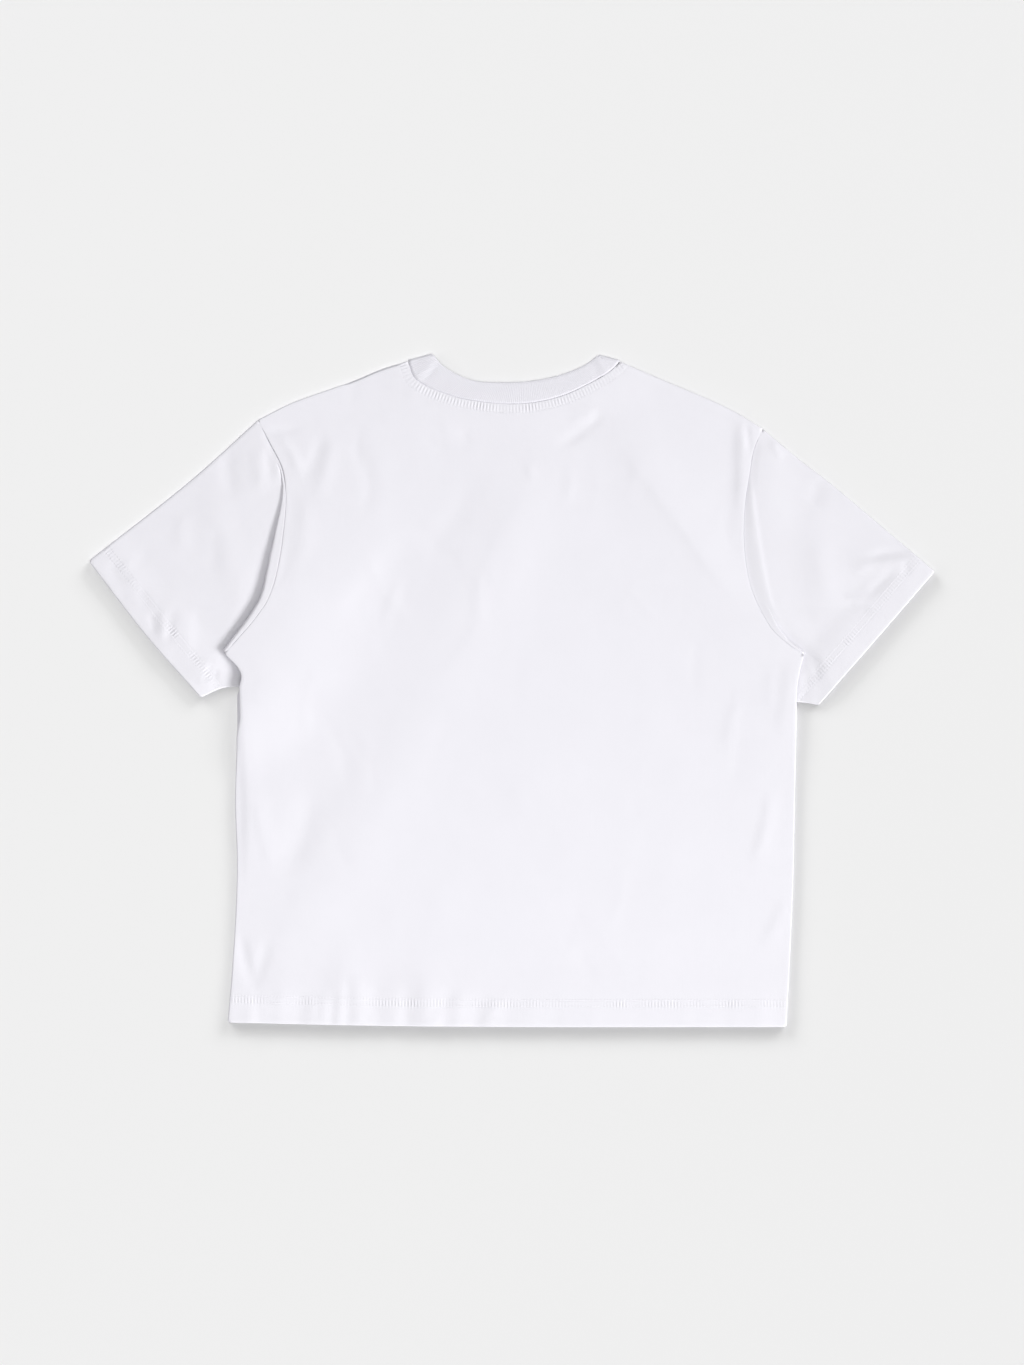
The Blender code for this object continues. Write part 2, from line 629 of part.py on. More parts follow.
def sleeve(side, name):
    """A sleeve: a tube, folded along its top, that lies half beside the body and half under it."""
    back_seam = armhole_line(side)[::-1]
    seam_out = normals_towards(back_seam, way_out(side))
    seam_height = body_height(back_seam[:, 0], back_seam[:, 1])
    pleat = pleat_rows(side, back_seam + SEAM_GAP / 2 * seam_out, seam_out, seam_height)

    front_seam = front_armhole_line(side)[::-1]
    clearance = np.full(len(front_seam), SEAM_GAP / 2)
    clearance[-2:] = UNDERARM_CLEARANCE
    front_seam = front_seam + clearance[:, None] * normals_towards(front_seam, way_out(side))

    turn = pleat[0]
    tuck = curve_through((turn[-1, :2], front_seam[-1]), TUCK_COLUMNS)[1:]
    start = np.vstack([turn[:, :2], tuck])
    start_height = np.concatenate([turn[:, 2], np.full(TUCK_COLUMNS, TUCK_LOFT)])

    (top, top_out), (under, under_out, under_radius), (cuff, cuff_out) = sleeve_edges(side, len(start) - 1)
    upper = sleeve_ply(start, top, under, cuff)
    lower = with_height(sleeve_ply(front_seam, top, under, cuff), FLOOR_PLY)

    def upper_height(x, y):
        return sleeve_height(x, y, side)

    away = np.linalg.norm(upper - upper[:1], axis=-1)
    settled = smoothstep(*TUCK_REACH, away)
    height = start_height + settled * (upper_height(upper[..., 0], upper[..., 1]) - start_height)
    upper = with_height(upper, height)

    grids = [
        upper,
        lower,
        pleat,
        fold_strip(upper[:, 0], lower[:, 0], top_out, EDGE_RADIUS),
        fold_strip(upper[:, -1], lower[:, -1], under_out, under_radius),
        hem_strip(upper[-1], cuff_out, SLEEVE_HEM, upper_height, -1),
        hem_strip(lower[-1], cuff_out, SLEEVE_HEM, front_height, 1),
    ]
    return cloth_object(name, grids, SLEEVE_COLOUR)


def rib_end(side, seam_end, edge_end):
    """Where the neck band's seam and free edge start to turn over at a shoulder, and the way out there."""
    shoulder_out = shoulder_line(side, SHOULDER_COLUMNS)[1][-1]
    inward = -np.array(way_out(side))
    inward -= (inward @ shoulder_out) * shoulder_out
    seam_end = seam_end + 2 * SEAM_GAP * inward / np.linalg.norm(inward)
    outward = normals_towards(np.array([seam_end, edge_end]), UPWARDS)[0]
    return seam_end, edge_end - (RIB_FOLD_RADIUS + RIB_WALL / 2) * outward, outward


def neck_rib():
    """The neck band: a ring of doubled rib, folded at both shoulders, with its front under its back."""
    back_seam, front_seam = back_neck_line(), front_neck_line()
    front_down = normals_towards(front_seam, DOWNWARDS)
    back_seam = back_seam - SEAM_GAP / 2 * normals_towards(back_seam, DOWNWARDS)
    front_edge = front_seam - (SEAM_GAP / 2 + NECK_BAND) * front_down
    front_seam = front_seam - SEAM_GAP / 2 * front_down
    back_edge = sampled(NECK_EDGE, NECK_COLUMNS)
    outward = {}
    for side, column in ((LEFT, 0), (RIGHT, -1)):
        seam_end, edge_end, outward[column] = rib_end(side, neck_point(side), back_edge[column])
        back_seam[column] = front_seam[column] = seam_end
        back_edge[column] = front_edge[column] = edge_end

    share = np.linspace(0, 1, NECK_ROWS + 1)[:, None, None]
    back = back_seam + share * (back_edge - back_seam)
    back = with_height(back, body_height(back[..., 0], back[..., 1]))
    front = with_height(front_seam + share * (front_edge - front_seam), RIB_WALL / 2)
    grids = [back, front]
    for column, out in outward.items():
        outs = np.tile(out, (NECK_ROWS + 1, 1))
        grids.append(fold_strip(back[:, column], front[:, column], outs, RIB_FOLD_RADIUS))
    return cloth_object("neck_rib", grids, RIB_COLOUR, RIB_WALL)


def clear_scene():
    for obj in list(bpy.data.objects):
        bpy.data.objects.remove(obj)


def main():
    clear_scene()
    front_panel()
    back_panel()
    sleeve(LEFT, "sleeve_left")
    sleeve(RIGHT, "sleeve_right")
    neck_rib()


main()
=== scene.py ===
"""A plain jersey t-shirt, laid flat on its front with its back upwards, in soft studio light.

The frame holds the shirt's solids. Each cloth piece here is a finer sheet on the same form as its solid,
with its creases, its turned hems and its seams, and with its stitches as pieces of their own.
Run as a script, it makes everything. X runs across the shirt, Y from the hem to the neck and Z up, with the
origin on the surface that the shirt lies on. Sizes are in metres, and those of the tables and of the
materials in millimetres.
"""

import math
from types import SimpleNamespace

import bmesh
import bpy
import numpy as np
from bpy.props import FloatProperty, FloatVectorProperty, PointerProperty
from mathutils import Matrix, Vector


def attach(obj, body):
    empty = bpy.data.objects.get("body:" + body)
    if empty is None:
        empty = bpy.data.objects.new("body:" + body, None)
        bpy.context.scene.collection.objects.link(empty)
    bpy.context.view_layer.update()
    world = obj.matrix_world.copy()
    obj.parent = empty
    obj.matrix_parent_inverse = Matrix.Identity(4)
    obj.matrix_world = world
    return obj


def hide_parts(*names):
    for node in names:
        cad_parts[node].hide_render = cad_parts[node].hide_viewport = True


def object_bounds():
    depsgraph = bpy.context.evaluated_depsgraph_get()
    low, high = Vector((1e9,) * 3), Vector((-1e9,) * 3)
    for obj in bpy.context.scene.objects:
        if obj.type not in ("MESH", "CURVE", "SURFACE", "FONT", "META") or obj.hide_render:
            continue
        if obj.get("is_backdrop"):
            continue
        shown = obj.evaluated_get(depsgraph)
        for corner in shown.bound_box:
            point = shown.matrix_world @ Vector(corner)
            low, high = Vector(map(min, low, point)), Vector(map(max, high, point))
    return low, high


bl_info = {
    "name": "Flat-laid t-shirt",
    "version": (1, 0, 0),
    "blender": (4, 5, 0),
    "location": "3D View > Sidebar > T-shirt",
    "description": "A plain jersey t-shirt, laid flat with its back upwards, in soft studio light",
    "category": "Object",
}

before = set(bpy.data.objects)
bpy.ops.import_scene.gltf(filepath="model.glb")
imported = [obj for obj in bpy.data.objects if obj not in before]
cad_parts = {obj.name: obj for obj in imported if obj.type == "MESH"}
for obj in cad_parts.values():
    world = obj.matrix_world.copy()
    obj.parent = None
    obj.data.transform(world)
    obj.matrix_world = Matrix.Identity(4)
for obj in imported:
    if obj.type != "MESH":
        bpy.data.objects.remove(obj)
CAD_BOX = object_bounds()

MM = 1000.0  # millimetres in a metre

# How the plies lie: heights of the middle of the upper cloth, and of what it folds over.
BODY_LOFT = 0.0045
SLEEVE_LOFT = 0.0040
STACK_AIR = 0.0002
TUCK_LOFT = 0.0023
OVERHANG_Z = 0.0039
SIDE_SEAM_Z = 0.0026

# The folds at the sides and shoulders, and the roll of the cloth into a seam, which dies away at its ends.
EDGE_RADIUS = 0.0008
LIP_RADIUS = 0.00025
LIP_TAPER = 0.012
SEAM_OPENING = 0.0001
SEAM_ALLOWANCE = 0.004
NECK_ROLL = (0.35, 1.0)  # how much of its roll the neck seam has at its left and its right end

# Over how many rows the side's edge rises over the sleeve at the armpit and grows thin, and by how much.
OVERHANG_ROWS = 4
THIN_ROWS = 6
OVERHANG_THIN = 0.6

# The room between the sleeve and the front's armhole at the underarm, and where along it that room opens.
UNDERARM_CLEARANCE = 0.0022
UNDERARM_OPENS = 0.965

# How far each change of height spreads, from where it is whole to where it ends. The hem's is given in Y.
HEM_RISE = (-0.308, -0.270)
NECK_REACH = (0.004, 0.045)
PLEAT_REACH = (0.018, 0.125)
OVERHANG_REACH = (0.020, 0.095)
TUCK_REACH = (0.008, 0.060)
TUCK_SINKS = (0.25, 0.75)  # as shares of the armhole
CUFF_RISE = (0.004, 0.030)
STILL_AT_NECK = 0.6
STILL_OVER_PLEAT = 0.7

# Beside the sleeve's seam: where its dip grows from the shoulder, over what length it ends, and how far
# from the seam the creases are whole.
DIP_GROWS = (0.004, 0.024)
DIP_ENDS = 0.020
CREASES_START = 0.003

# How fast the bends of a panel's two sides die away inside it, and over what share of a line it is drawn
# aside to meet the end of another.
EDGE_GRIP = 4.0
EDGE_BLEND = 0.6
SEAM_BLEND = 0.1
ARMPIT_BLEND = 0.03


def fold_turns(*degrees):
    """For each turn in degrees: its angle, and how far out and up a fold of radius 1 has then come."""
    angles = np.radians(degrees)
    return list(zip(angles, np.sin(angles), 1 - np.cos(angles)))


LIP_TURNS = fold_turns(15, 30, 45)
HEM_TURNS = fold_turns(30, 60, 90, 120, 150, 180)
EDGE_TURNS = fold_turns(15, 40, 65, 90, 115, 140, 165, 180)
TUBE_TURNS = fold_turns(20, 45, 70, 90, 110, 135, 160)
BAND_TURNS = fold_turns(30, 60, 90, 120, 150)
PLEAT_TURNS = 7
OPEN_ANGLE = 60

# The two panels of the body: whether it shows, if its edges turn up (1) or down (-1) to the other, and the
# rows and columns along its lines.
BACK = SimpleNamespace(shown=1, up=-1, side=96, overhang=12, armhole=84, shoulder=52, neck=84)
FRONT = SimpleNamespace(shown=0, up=1, side=54, overhang=0, armhole=50, shoulder=30, neck=54)
SIDE_CLOSENESS = 1.25  # how much closer the rows of a side come near the armpit
SLEEVE_COLUMNS = 104
TUCK_COLUMNS = 10
SLEEVE_ROWS = 78
STRIP_ROWS = 4
HEM_ROWS = 8
BAND_ROWS = 8
BAND_COLUMNS = 60
COLUMNS_PER_RIB = 4

# Chords to each span of a smooth curve: where it shapes an edge, where it only measures, and in a crease.
FINE, COARSE, CREASED = 12, 6, 5

UPWARDS = np.array((0.0, 1.0))
DOWNWARDS = -UPWARDS


def plan_line(*numbers):
    """The points of a line seen from above, from their x and y in turn, in millimetres."""
    return np.reshape(numbers, (-1, 2)) / MM


def crease_table(*rows):
    """Creases from rows in millimetres.

    A row holds how wide the crease is on its left and on its right as it runs, how far its crest rises, or
    sinks where that is negative, and the x and y of the points that it runs through.
    """
    return [(plan_line(*points), left / MM, right / MM, rise / MM) for left, right, rise, *points in rows]


# The outline as the shirt lies. Each line goes through its points in a smooth curve.
HEM_LINE = plan_line(-283.5, -332, -131.5, -335.3, 8.5, -336.5, 274.5, -336.5)
NECK_SEAM = plan_line(
    -103.5, 327.2, -98, 312.5, -84.2, 302.7, -67.5, 296.2, -49, 290.6, -4.6, 285.5, 24.9, 287.3, 52.7,
    294.3, 80.5, 307.3, 98.9, 318.4, 108.2, 327,
)
NECK_EDGE = plan_line(
    -80, 336.3, -71.2, 325, -58.5, 316.5, -37.9, 308.2, -12, 306.4, 15.7, 307.3, 43.5, 312.3, 61.9,
    318.4, 76.7, 325.8, 88.2, 335,
)
FRONT_NECK_DROP = 0.090
SCOOP_POWER = 0.75
RIB_WALL = 0.0022
RIB_SINK = 0.0004
RIB_FOLD_RADIUS = 0.00185

# The large folds of the cloth, which the solids have too, a little higher. Each row of millimetres holds
# the x and y of the fold's start and of its end, how far it bows sideways, half its width, and its height.
FOLD_END = 0.35  # how much of its height a fold has at its ends
BODY_FOLDS = np.array((
    (30, 230, -90, -15, 12, 34, 1.1), (-80, -10, -250, -290, -15, 32, 0.8),
    (100, 270, 235, 70, 10, 28, 0.9), (-140, 250, -190, 80, -20, 24, 0.8),
    (-195, 30, -235, -190, 22, 26, 0.4), (245, 20, 235, -125, -12, 18, 0.4),
    (-163, -260, -170, -330, 0, 18, 1), (-85, -265, -70, -335, 6, 20, 0.8),
    (5, -50, 50, -150, 10, 30, 0.3),
)) / MM
LEFT_FOLDS = np.array(((-300, 200, -270, 100, 4, 16, 1), (-335, 95, -355, 30, -6, 14, 0.9))) / MM
RIGHT_FOLDS = np.array(((300, 180, 330, 50, 6, 22, 0.8), (335, 125, 395, 125, -4, 15, 0.9))) / MM

# The finer creases: over what share of its length each fades at its ends, and how many of its widths away
# it still counts.
CREASE_FADE = 0.35
CREASE_REACH = 3.0
BODY_CREASES = crease_table(
    # the streaks along the right side, under the armpit
    (20, 8.5, 0.8, 286, 38, 279, 16, 274.5, -18, 270, -54), (7, 4.5, 0.3, 257.5, 30, 258, 0, 257, -25),
    (8, 6, 0.4, 229, 5, 220, -30, 214, -72), (9, 5.5, 0.6, 260, -90, 254, -132, 242, -180),
    (9, 6, 0.4, 275, -205, 264, -235, 245, -260),
    # beside the right armhole, and the small pinch at its shoulder
    (16, 7, 1.3, 232, 280, 230.5, 230, 230, 165), (2.6, 2.6, -0.9, 233.5, 270, 236.2, 252, 237.8, 234),
    (8, 8, -0.3, 220, 210, 215, 170, 223, 120),
    # the left shoulder, by the sleeve
    (4, 5, -0.5, -248, 260, -230, 259, -206, 262),
    (5, 4.5, 0.6, -244, 256, -228, 248, -217, 232, -211, 210),
    (7, 6, -0.5, -190, 260, -195, 235, -208, 205), (8, 7.5, 0.5, -178, 256, -185, 220, -196, 185),
    (10, 8, -0.6, -169, 258, -145, 220, -142, 195, -156, 170),
    # beside the left armhole
    (9, 9, 0.4, -209, 195, -206, 160, -213, 120), (6, 6, -0.3, -221, 150, -226, 125, -236, 100),
    # the long diagonals of the middle
    (34, 10, 0.5, 38, 228, -23, 122, -31, 66, -94, -28), (12, 8, 0.3, -30, 124, -34, 96, -34, 64),
    (36, 14, 0.3, -92, -20, -182, -148, -250, -298), (10, 16, 0.3, -90, 188, -140, 125, -200, 56),
    (30, 9, 0.9, 90, 274, 155, 185.5, 203, 119.5, 251, 65.5), (10, 10, 0.2, 12, 150, -2, 105, -18, 80),
    (12, 11, -0.3, -38, 220, -52, 182, -72, 150),
    # the left side
    (15, 4.5, 0.8, -270, 15, -266, -60, -263, -130, -264, -210),
    (10, 4.5, 0.4, -256, -100, -248, -148, -236, -190),
    (11, 14, -0.7, -196, -90, -208, -140, -228, -190),
    (5.5, 6, -0.9, -272, -238, -266, -270, -256, -302),
    (7, 6, -0.6, -240, -242, -250, -275, -258, -306),
    # under the neck band
    (5, 6, -0.6, 96, 282, 68, 256, 40, 240), (8, 7, 0.3, 88, 268, 76, 275, 56, 270),
    (6, 5, -0.3, -92, 256, -76, 245, -60, 240), (5, 5, -0.3, -50, 264, -46, 252, -42, 240),
    (6, 6, 0.2, -70, 272, -64, 258, -56, 250), (5, 5, 0.4, 14, 226, 20.5, 215, 21.5, 206),
    # the small ones of the middle
    (7, 8, 0.2, 3, -85, 10, -112, 19, -136), (7, 7, -0.3, 60, -256, 72, -272, 86, -288),
    (18, 16, 0.2, 130, 40, 142, -20, 138, -80), (16, 18, 0.2, 170, -130, 156, -190, 162, -240),
    (15, 15, 0.2, -40, -150, -60, -200, -90, -240),
)
LEFT_CREASES = crease_table(
    (6, 5, -0.6, -244, 245, -242, 228, -240, 206), (7, 6, 0.4, -256, 246, -252, 220, -250, 195),
    (8, 7, -0.6, -276, 246, -284, 225, -276, 190), (4, 4, -0.5, -362, 78, -358, 66, -357, 56),
    (4.5, 4.5, 0.5, -352, 82, -348, 64, -350, 46), (5, 5, -0.5, -338, 86, -340, 64, -344, 42),
    (8, 10, 0.6, -324, 90, -323, 56, -326, 26), (5, 5, -0.7, -306, 24, -298, 18, -290, 16),
    (5, 5, 0.5, -316, 12, -306, 8, -296, 8), (6, 6, -0.5, -398, 132, -396, 116, -388, 102),
    (7, 7, 0.5, -384, 134, -380, 116, -374, 100), (5.5, 5.5, -0.4, -374, 102, -366, 90, -364, 80),
    (8, 8, 0.4, -326, 180, -330, 156, -326, 135), (9, 8, -0.4, -300, 170, -296, 140, -300, 110),
)
RIGHT_CREASES = crease_table(
    # the ridge beside the armhole seam
    (
        2.8, 6, 0.5, 244, 256, 236.2, 231, 240.2, 188, 244.2, 158, 250.5, 119.6, 258.2, 87.6, 266.8, 69.7,
        274.2, 57, 290, 40.5,
    ),
    (5, 4.5, 0.6, 258, 250, 264, 240, 271, 229), (9, 8, -0.6, 302, 212, 304, 198, 296, 182),
    (5, 4.6, -0.8, 350, 131, 370, 135.5, 390, 136.5, 408, 134.5),
    (6, 7, 0.6, 338, 121, 364, 126, 386, 128), (4.5, 4.5, -0.5, 393.5, 132, 394, 122, 393, 112),
    (5, 5.5, -0.7, 386, 123, 368, 106, 352, 90), (4.8, 4.8, -0.5, 328, 88, 346, 83, 362, 78),
    (5.5, 5, 0.4, 330, 94, 344, 91, 354, 90), (5, 5, -0.8, 296, 38, 303, 24, 308, 8),
    (5, 5, 0.6, 290, 26, 289, 8, 290, -8), (12, 12, 0.5, 306, 160, 310, 120, 318, 80),
)
BAND_CREASES = crease_table(
    (3, 3, -0.5, -112, 323, -96, 328, -82, 340), (3.2, 3.2, 0.5, -100, 308, -86, 320, -74, 334),
    (2.8, 2.8, -0.3, -94, 302, -82, 314, -70, 329), (3, 3, -0.3, 90, 306, 84, 320, 76, 334),
    (3, 3, 0.3, 98, 312, 90, 324, 83, 338),
)
HIDDEN_CREASES = crease_table(
    (20, 18, 0.9, 150, 230, 60, 90, -40, -20), (18, 20, 1, -170, 180, -130, 30, -180, -150),
    (16, 20, 0.9, 210, -20, 170, -140, 200, -260), (16, 16, 0.8, -60, -130, 40, -190, 110, -270),
)

# The hem's puckers, in millimetres: where each crest or trough crosses the edge, how far it leans, how far
# up it reaches, its half width, and its height.
HEM_PUCKERS = np.array((
    (-264, 6, 34, 6, 0.36), (-248, -10, 40, 6, -0.31), (-233, 4, 48, 6.5, 0.36),
    (-213, 2, 40, 6, -0.31), (-201, 3, 36, 5.5, 0.31), (-190, 4, 38, 5, 0.36), (-181, 5, 40, 5, -0.31),
    (-173, 3, 44, 4.5, 0.24), (-164, 1, 60, 5, -0.4), (-151, -2, 56, 7, 0.34),
    (-133, -4, 50, 8, -0.35), (-118, 2, 40, 7, 0.19), (-105, 2, 48, 7, -0.46), (-88, 4, 46, 8, 0.46),
    (-70, 8, 40, 6, -0.41), (-56, 8, 38, 6, 0.36), (-40, 12, 36, 6.5, -0.36), (-23, 10, 34, 6, 0.25),
    (-6, 8, 30, 6, -0.2), (16, 6, 30, 7, 0.2), (42, 4, 28, 7, -0.15), (80, 4, 30, 8, 0.15),
    (126, -4, 30, 8, -0.15), (170, 4, 28, 7, 0.15), (214, -4, 32, 8, -0.2), (246, 3, 34, 7, 0.25),
)) / MM

# The small creases of washed jersey: how many to a square metre, the range of their sizes, how far they
# turn from the grain, in degrees, and how far they bow, as a share of half their length.
SOFT_CREASE_SEED = 7
SOFT_CREASES_PER_M2 = 300
SOFT_CREASE_LENGTH = (0.030, 0.110)
SOFT_CREASE_WIDTH = (0.0040, 0.0090)
SOFT_CREASE_HEIGHT = 0.00012
SOFT_CREASE_TURN = 28
SOFT_CREASE_BOW = 0.16
BODY_BOX = ((-0.30, -0.35), (0.30, 0.34))

# The two sides. On each, the way out across the shirt, the lines of its outline, and:
# - lifted_from: where along the armhole the body starts to be lifted, and where it is lifted whole;
# - pleat_loft: how high that is;
# - tuck_rise: how much higher the tucked sleeve lies near the shoulder;
# - seam_dip: how far the sleeve sinks towards the seam, over what distance, and how far from the shoulder;
# - pleat: at places from the shoulder (0) to the armpit (1), how far the pleat shows outside the seam and
#   how deep it folds back under the body, in millimetres, and how far its cloth turns, in degrees;
# - side_slip, shoulder_slip: where the back's folded edge has slipped inwards, so that the front shows
#   beside it, from the start to the end of that stretch, and how far it has slipped.
SLIP_SPREAD = 0.06
LEFT = SimpleNamespace(
    out=np.array((-1.0, 0.0)),
    folds=LEFT_FOLDS,
    creases=LEFT_CREASES,
    side_edge=plan_line(
        -283.5, -332, -279, -280, -275, -213, -274.1, -168, -276, -112, -274.5, -60, -274, -28, -274.8,
        4,
    ),
    overhang=plan_line(-274.8, 4, -272.8, 13.5, -276.8, 23.5, -287, 37.5),
    armhole=plan_line(
        -287, 37.5, -279.5, 44.4, -261.9, 63.6, -250.7, 78, -244.3, 87.6, -237.1, 105.2, -230.7, 134,
        -227.5, 158, -225.1, 190, -228.3, 220, -241.5, 247, -253.5, 269.6,
    ),
    shoulder=plan_line(
        -253.5, 269.6, -219.7, 286.5, -181.5, 300.3, -158.5, 308.7, -127.8, 321.5, -103.5, 328.5,
    ),
    sleeve_top=plan_line(-253.5, 269.6, -319.7, 210, -411.5, 137.5, -422.3, 129),
    cuff=plan_line(-422.3, 129, -365.7, 55.3, -310.5, -8),
    underarm=plan_line(-274.8, 4, -286.5, 3, -310.5, -8),
    front_armhole=plan_line(-269, 3.5, -250, 35, -233, 65, -221, 120, -220, 175, -233, 230, -253.5, 269.6),
    lifted_from=(0.12, 0.75),
    pleat_loft=0.0096,
    tuck_rise=0.0014,
    seam_dip=(0.0007, 0.0030, 0.080),
    pleat=(
        (0, 0, 0, 0), (0.1, 2, 0, 0), (0.2, 1.2, 0, 60), (0.27, 1.4, 3, 180), (0.33, 3, 10, 180),
        (0.39, 5, 16, 180), (0.46, 7.2, 20, 180), (0.55, 9, 20, 180), (0.64, 9.2, 18.5, 180),
        (0.74, 6.8, 18, 180), (0.85, 4.8, 23, 180), (1, 2.5, 29, 180),
    ),
    side_slip=(0.76, 0.99, 0.0028),
    shoulder_slip=(0.55, 0.98, 0.0013),
)
RIGHT = SimpleNamespace(
    out=np.array((1.0, 0.0)),
    folds=RIGHT_FOLDS,
    creases=RIGHT_CREASES,
    side_edge=plan_line(274.5, -336.5, 278.5, -260, 281.4, -190, 283, -110, 284.5, -40, 285, -10.5),
    overhang=plan_line(285, -10.5, 286, 5, 288.8, 21, 292.5, 35.5),
    armhole=plan_line(
        292.5, 35.5, 275.5, 46.5, 261.8, 58.8, 251.2, 75, 240.5, 98.3, 234.1, 126, 232, 158, 233, 185,
        237.3, 213.5, 242, 240, 251.1, 260.7,
    ),
    shoulder=plan_line(251.1, 260.7, 226.3, 276, 203.3, 287.5, 176.5, 299, 143.3, 313, 108.2, 328),
    sleeve_top=plan_line(251.1, 260.7, 288.5, 229.5, 314.2, 210, 422.9, 118.5),
    cuff=plan_line(422.9, 118.5, 365, 51.2, 307.1, -16),
    underarm=plan_line(285, -10.5, 296, -13, 307.1, -16),
    front_armhole=plan_line(279, -11, 264, 20, 244, 56, 231, 105, 227, 160, 235, 215, 251.1, 260.7),
    lifted_from=(0.62, 0.86),
    pleat_loft=0.0057,
    tuck_rise=0.0,
    seam_dip=(0.0006, 0.0055, 1.000),
    pleat=(
        (0, 0, 0, 0), (0.1, 7, 0, 0), (0.2, 9, 0, 0), (0.7, 9, 0, 0), (0.8, 6, 0, 70),
        (0.9, 2.5, 12, 180), (1, 1.5, 27, 180),
    ),
    side_slip=(0.0, 0.0, 0.0),
    shoulder_slip=(0.0, 0.0, 0.0),
)

WELD = 0.00002  # how near two points of a sheet are made one

# The stitches.
STITCH_SIDES = 6
STITCH_STATIONS = 7
STITCH_SHARE = 0.80  # how much of its spacing a stitch shows
STITCH_SINK = 0.25  # how much of the thread's width lies in the cloth
STITCH_DIVE = 0.9  # how far its ends go down, in widths of the thread
STITCH_TIP = 0.05  # the least share of its section that is left there
NECK_NEEDLE = 0.0088  # how far below the neck seam its row of stitches runs
NECK_ROW_ENDS = 4  # how many columns that row leaves free at each end

# The camera, straight above the shirt, and the picture that it fills.
PICTURE = (1024, 1365)
METRES_PER_PIXEL = 0.001
CAMERA_HEIGHT = 3.0
SENSOR = 36.0
AIM = (0.0005, 0.0075)
FLOOR_SIZE = 44.0
FLOOR_DROP = 0.0001

# The lamps: azimuth from +X towards +Y and elevation, in degrees, distance and size, the strength that it
# takes and its share of that, and the only collection that it lights.
LAMPS = {
    "overhead softbox": (-90, 60, 2.7, (3.3, 3.3), "overhead", 1.0, "shirt"),
    "floor softbox": (-90, 78, 12.0, (5.4, 5.4), "floor_top", 1.0, "surroundings"),
    "back strip left": (128, 15.5, 60.0, (41.2, 12.8), "back_strips", 1.0, "surroundings"),
    "back panel left": (128, 32, 60.0, (41.2, 16.8), "back_panels", 1.0, "surroundings"),
    "back strip right": (52, 15.5, 60.0, (41.2, 12.8), "back_strips", 1.0, "surroundings"),
    "back panel right": (52, 32, 60.0, (41.2, 16.8), "back_panels", 1.0, "surroundings"),
    "side strip": (180, 20, 32.0, (18.0, 10.0), "side_strip", 1.0, "surroundings"),
    "left rim": (115, 12, 8.0, (6.0, 1.5), "rims", 1.0, "shirt"),
    "right rim": (52, 12, 8.0, (6.0, 1.5), "rims", 0.25, "shirt"),
    "right key": (-25, 30, 20.0, (9.1, 5.7), "key", 1.0, "shirt"),
}


def size_of(name, description, default, **limits):
    """A length that a user may change."""
    return FloatProperty(name=name, description=description, default=default, unit="LENGTH", **limits)


def colour_of(name, description, *default):
    """A colour that a user may change."""
    return FloatVectorProperty(name=name, description=description, default=default, subtype="COLOR")


def light_of(name, description, default):
    """The strength of a light that a user may change."""
    return FloatProperty(name=name, description=description, default=default)


class ShirtSizes(bpy.types.PropertyGroup):
    """The sizes that a maker would choose."""

    cloth: size_of("Jersey", "Thickness of the jersey", 0.0012, min=0.0005)
    seam_gap: size_of("Seam gap", "Space between two pieces at a seam", 0.0003)
    body_hem: size_of("Body hem", "How deep the body's hem is turned in", 0.023)
    cuff_hem: size_of("Cuff hem", "How deep a sleeve's hem is turned in", 0.021)
    neck_band: size_of("Neck band", "Height of the neck band", 0.021)
    rib_pitch: size_of("Rib pitch", "From one rib of the neck band to the next", 0.0018)
    rib_depth: size_of("Rib depth", "How far a rib stands proud", 0.00012)
    stitch: size_of("Stitch", "Length of one stitch", 0.0032)
    needle_gap: size_of("Needle gap", "Between the two rows of a cover stitch", 0.0064)
    thread: size_of("Thread", "Thickness of the sewing thread", 0.0004)
    creases: FloatProperty(
        name="Creases", description="How strongly the cloth is creased", default=1.15, min=0.0, soft_max=2.0
    )


class ShirtColours(bpy.types.PropertyGroup):
    """The colours of the shirt and of what it lies on."""

    jersey: colour_of("Jersey", "Colour of the body", 0.845, 0.835, 0.885)
    # The sleeves' colour is the jersey's made about 2% darker: painted shade for the dimmer light on the
    # sleeves, on the same white jersey.
    sleeve: colour_of("Sleeves", "Colour of the sleeves", 0.828, 0.818, 0.866)
    # The rib's colour is the jersey's made about 5% darker: painted shade for the dimmer light at the top
    # of the shirt.
    rib: colour_of("Rib", "Colour of the neck band", 0.805, 0.795, 0.848)
    thread: colour_of("Thread", "Colour of the sewing thread", 0.86, 0.85, 0.89)
    floor: colour_of("Floor", "Colour of the floor", 0.80, 0.80, 0.80)


class StudioLight(bpy.types.PropertyGroup):
    """How much light each lamp brings to a level surface under it, in watts per square metre."""

    overhead: light_of("Overhead", "From the wide softbox on the shirt", 1.36)
    floor_top: light_of("Floor", "From the high softbox on the floor", 0.98)
    back_strips: light_of("Back strips", "From each low strip behind", 0.55)
    back_panels: light_of("Back panels", "From each panel above those", 0.24)
    side_strip: light_of("Side strip", "From the low strip on the left", 0.18)
    rims: light_of("Rims", "From the low lamps on the shirt's far edges", 0.14)
    key: light_of("Key", "From the low softbox on the right", 1.52)
    room: light_of("Room", "Brightness of the room all round", 0.28)


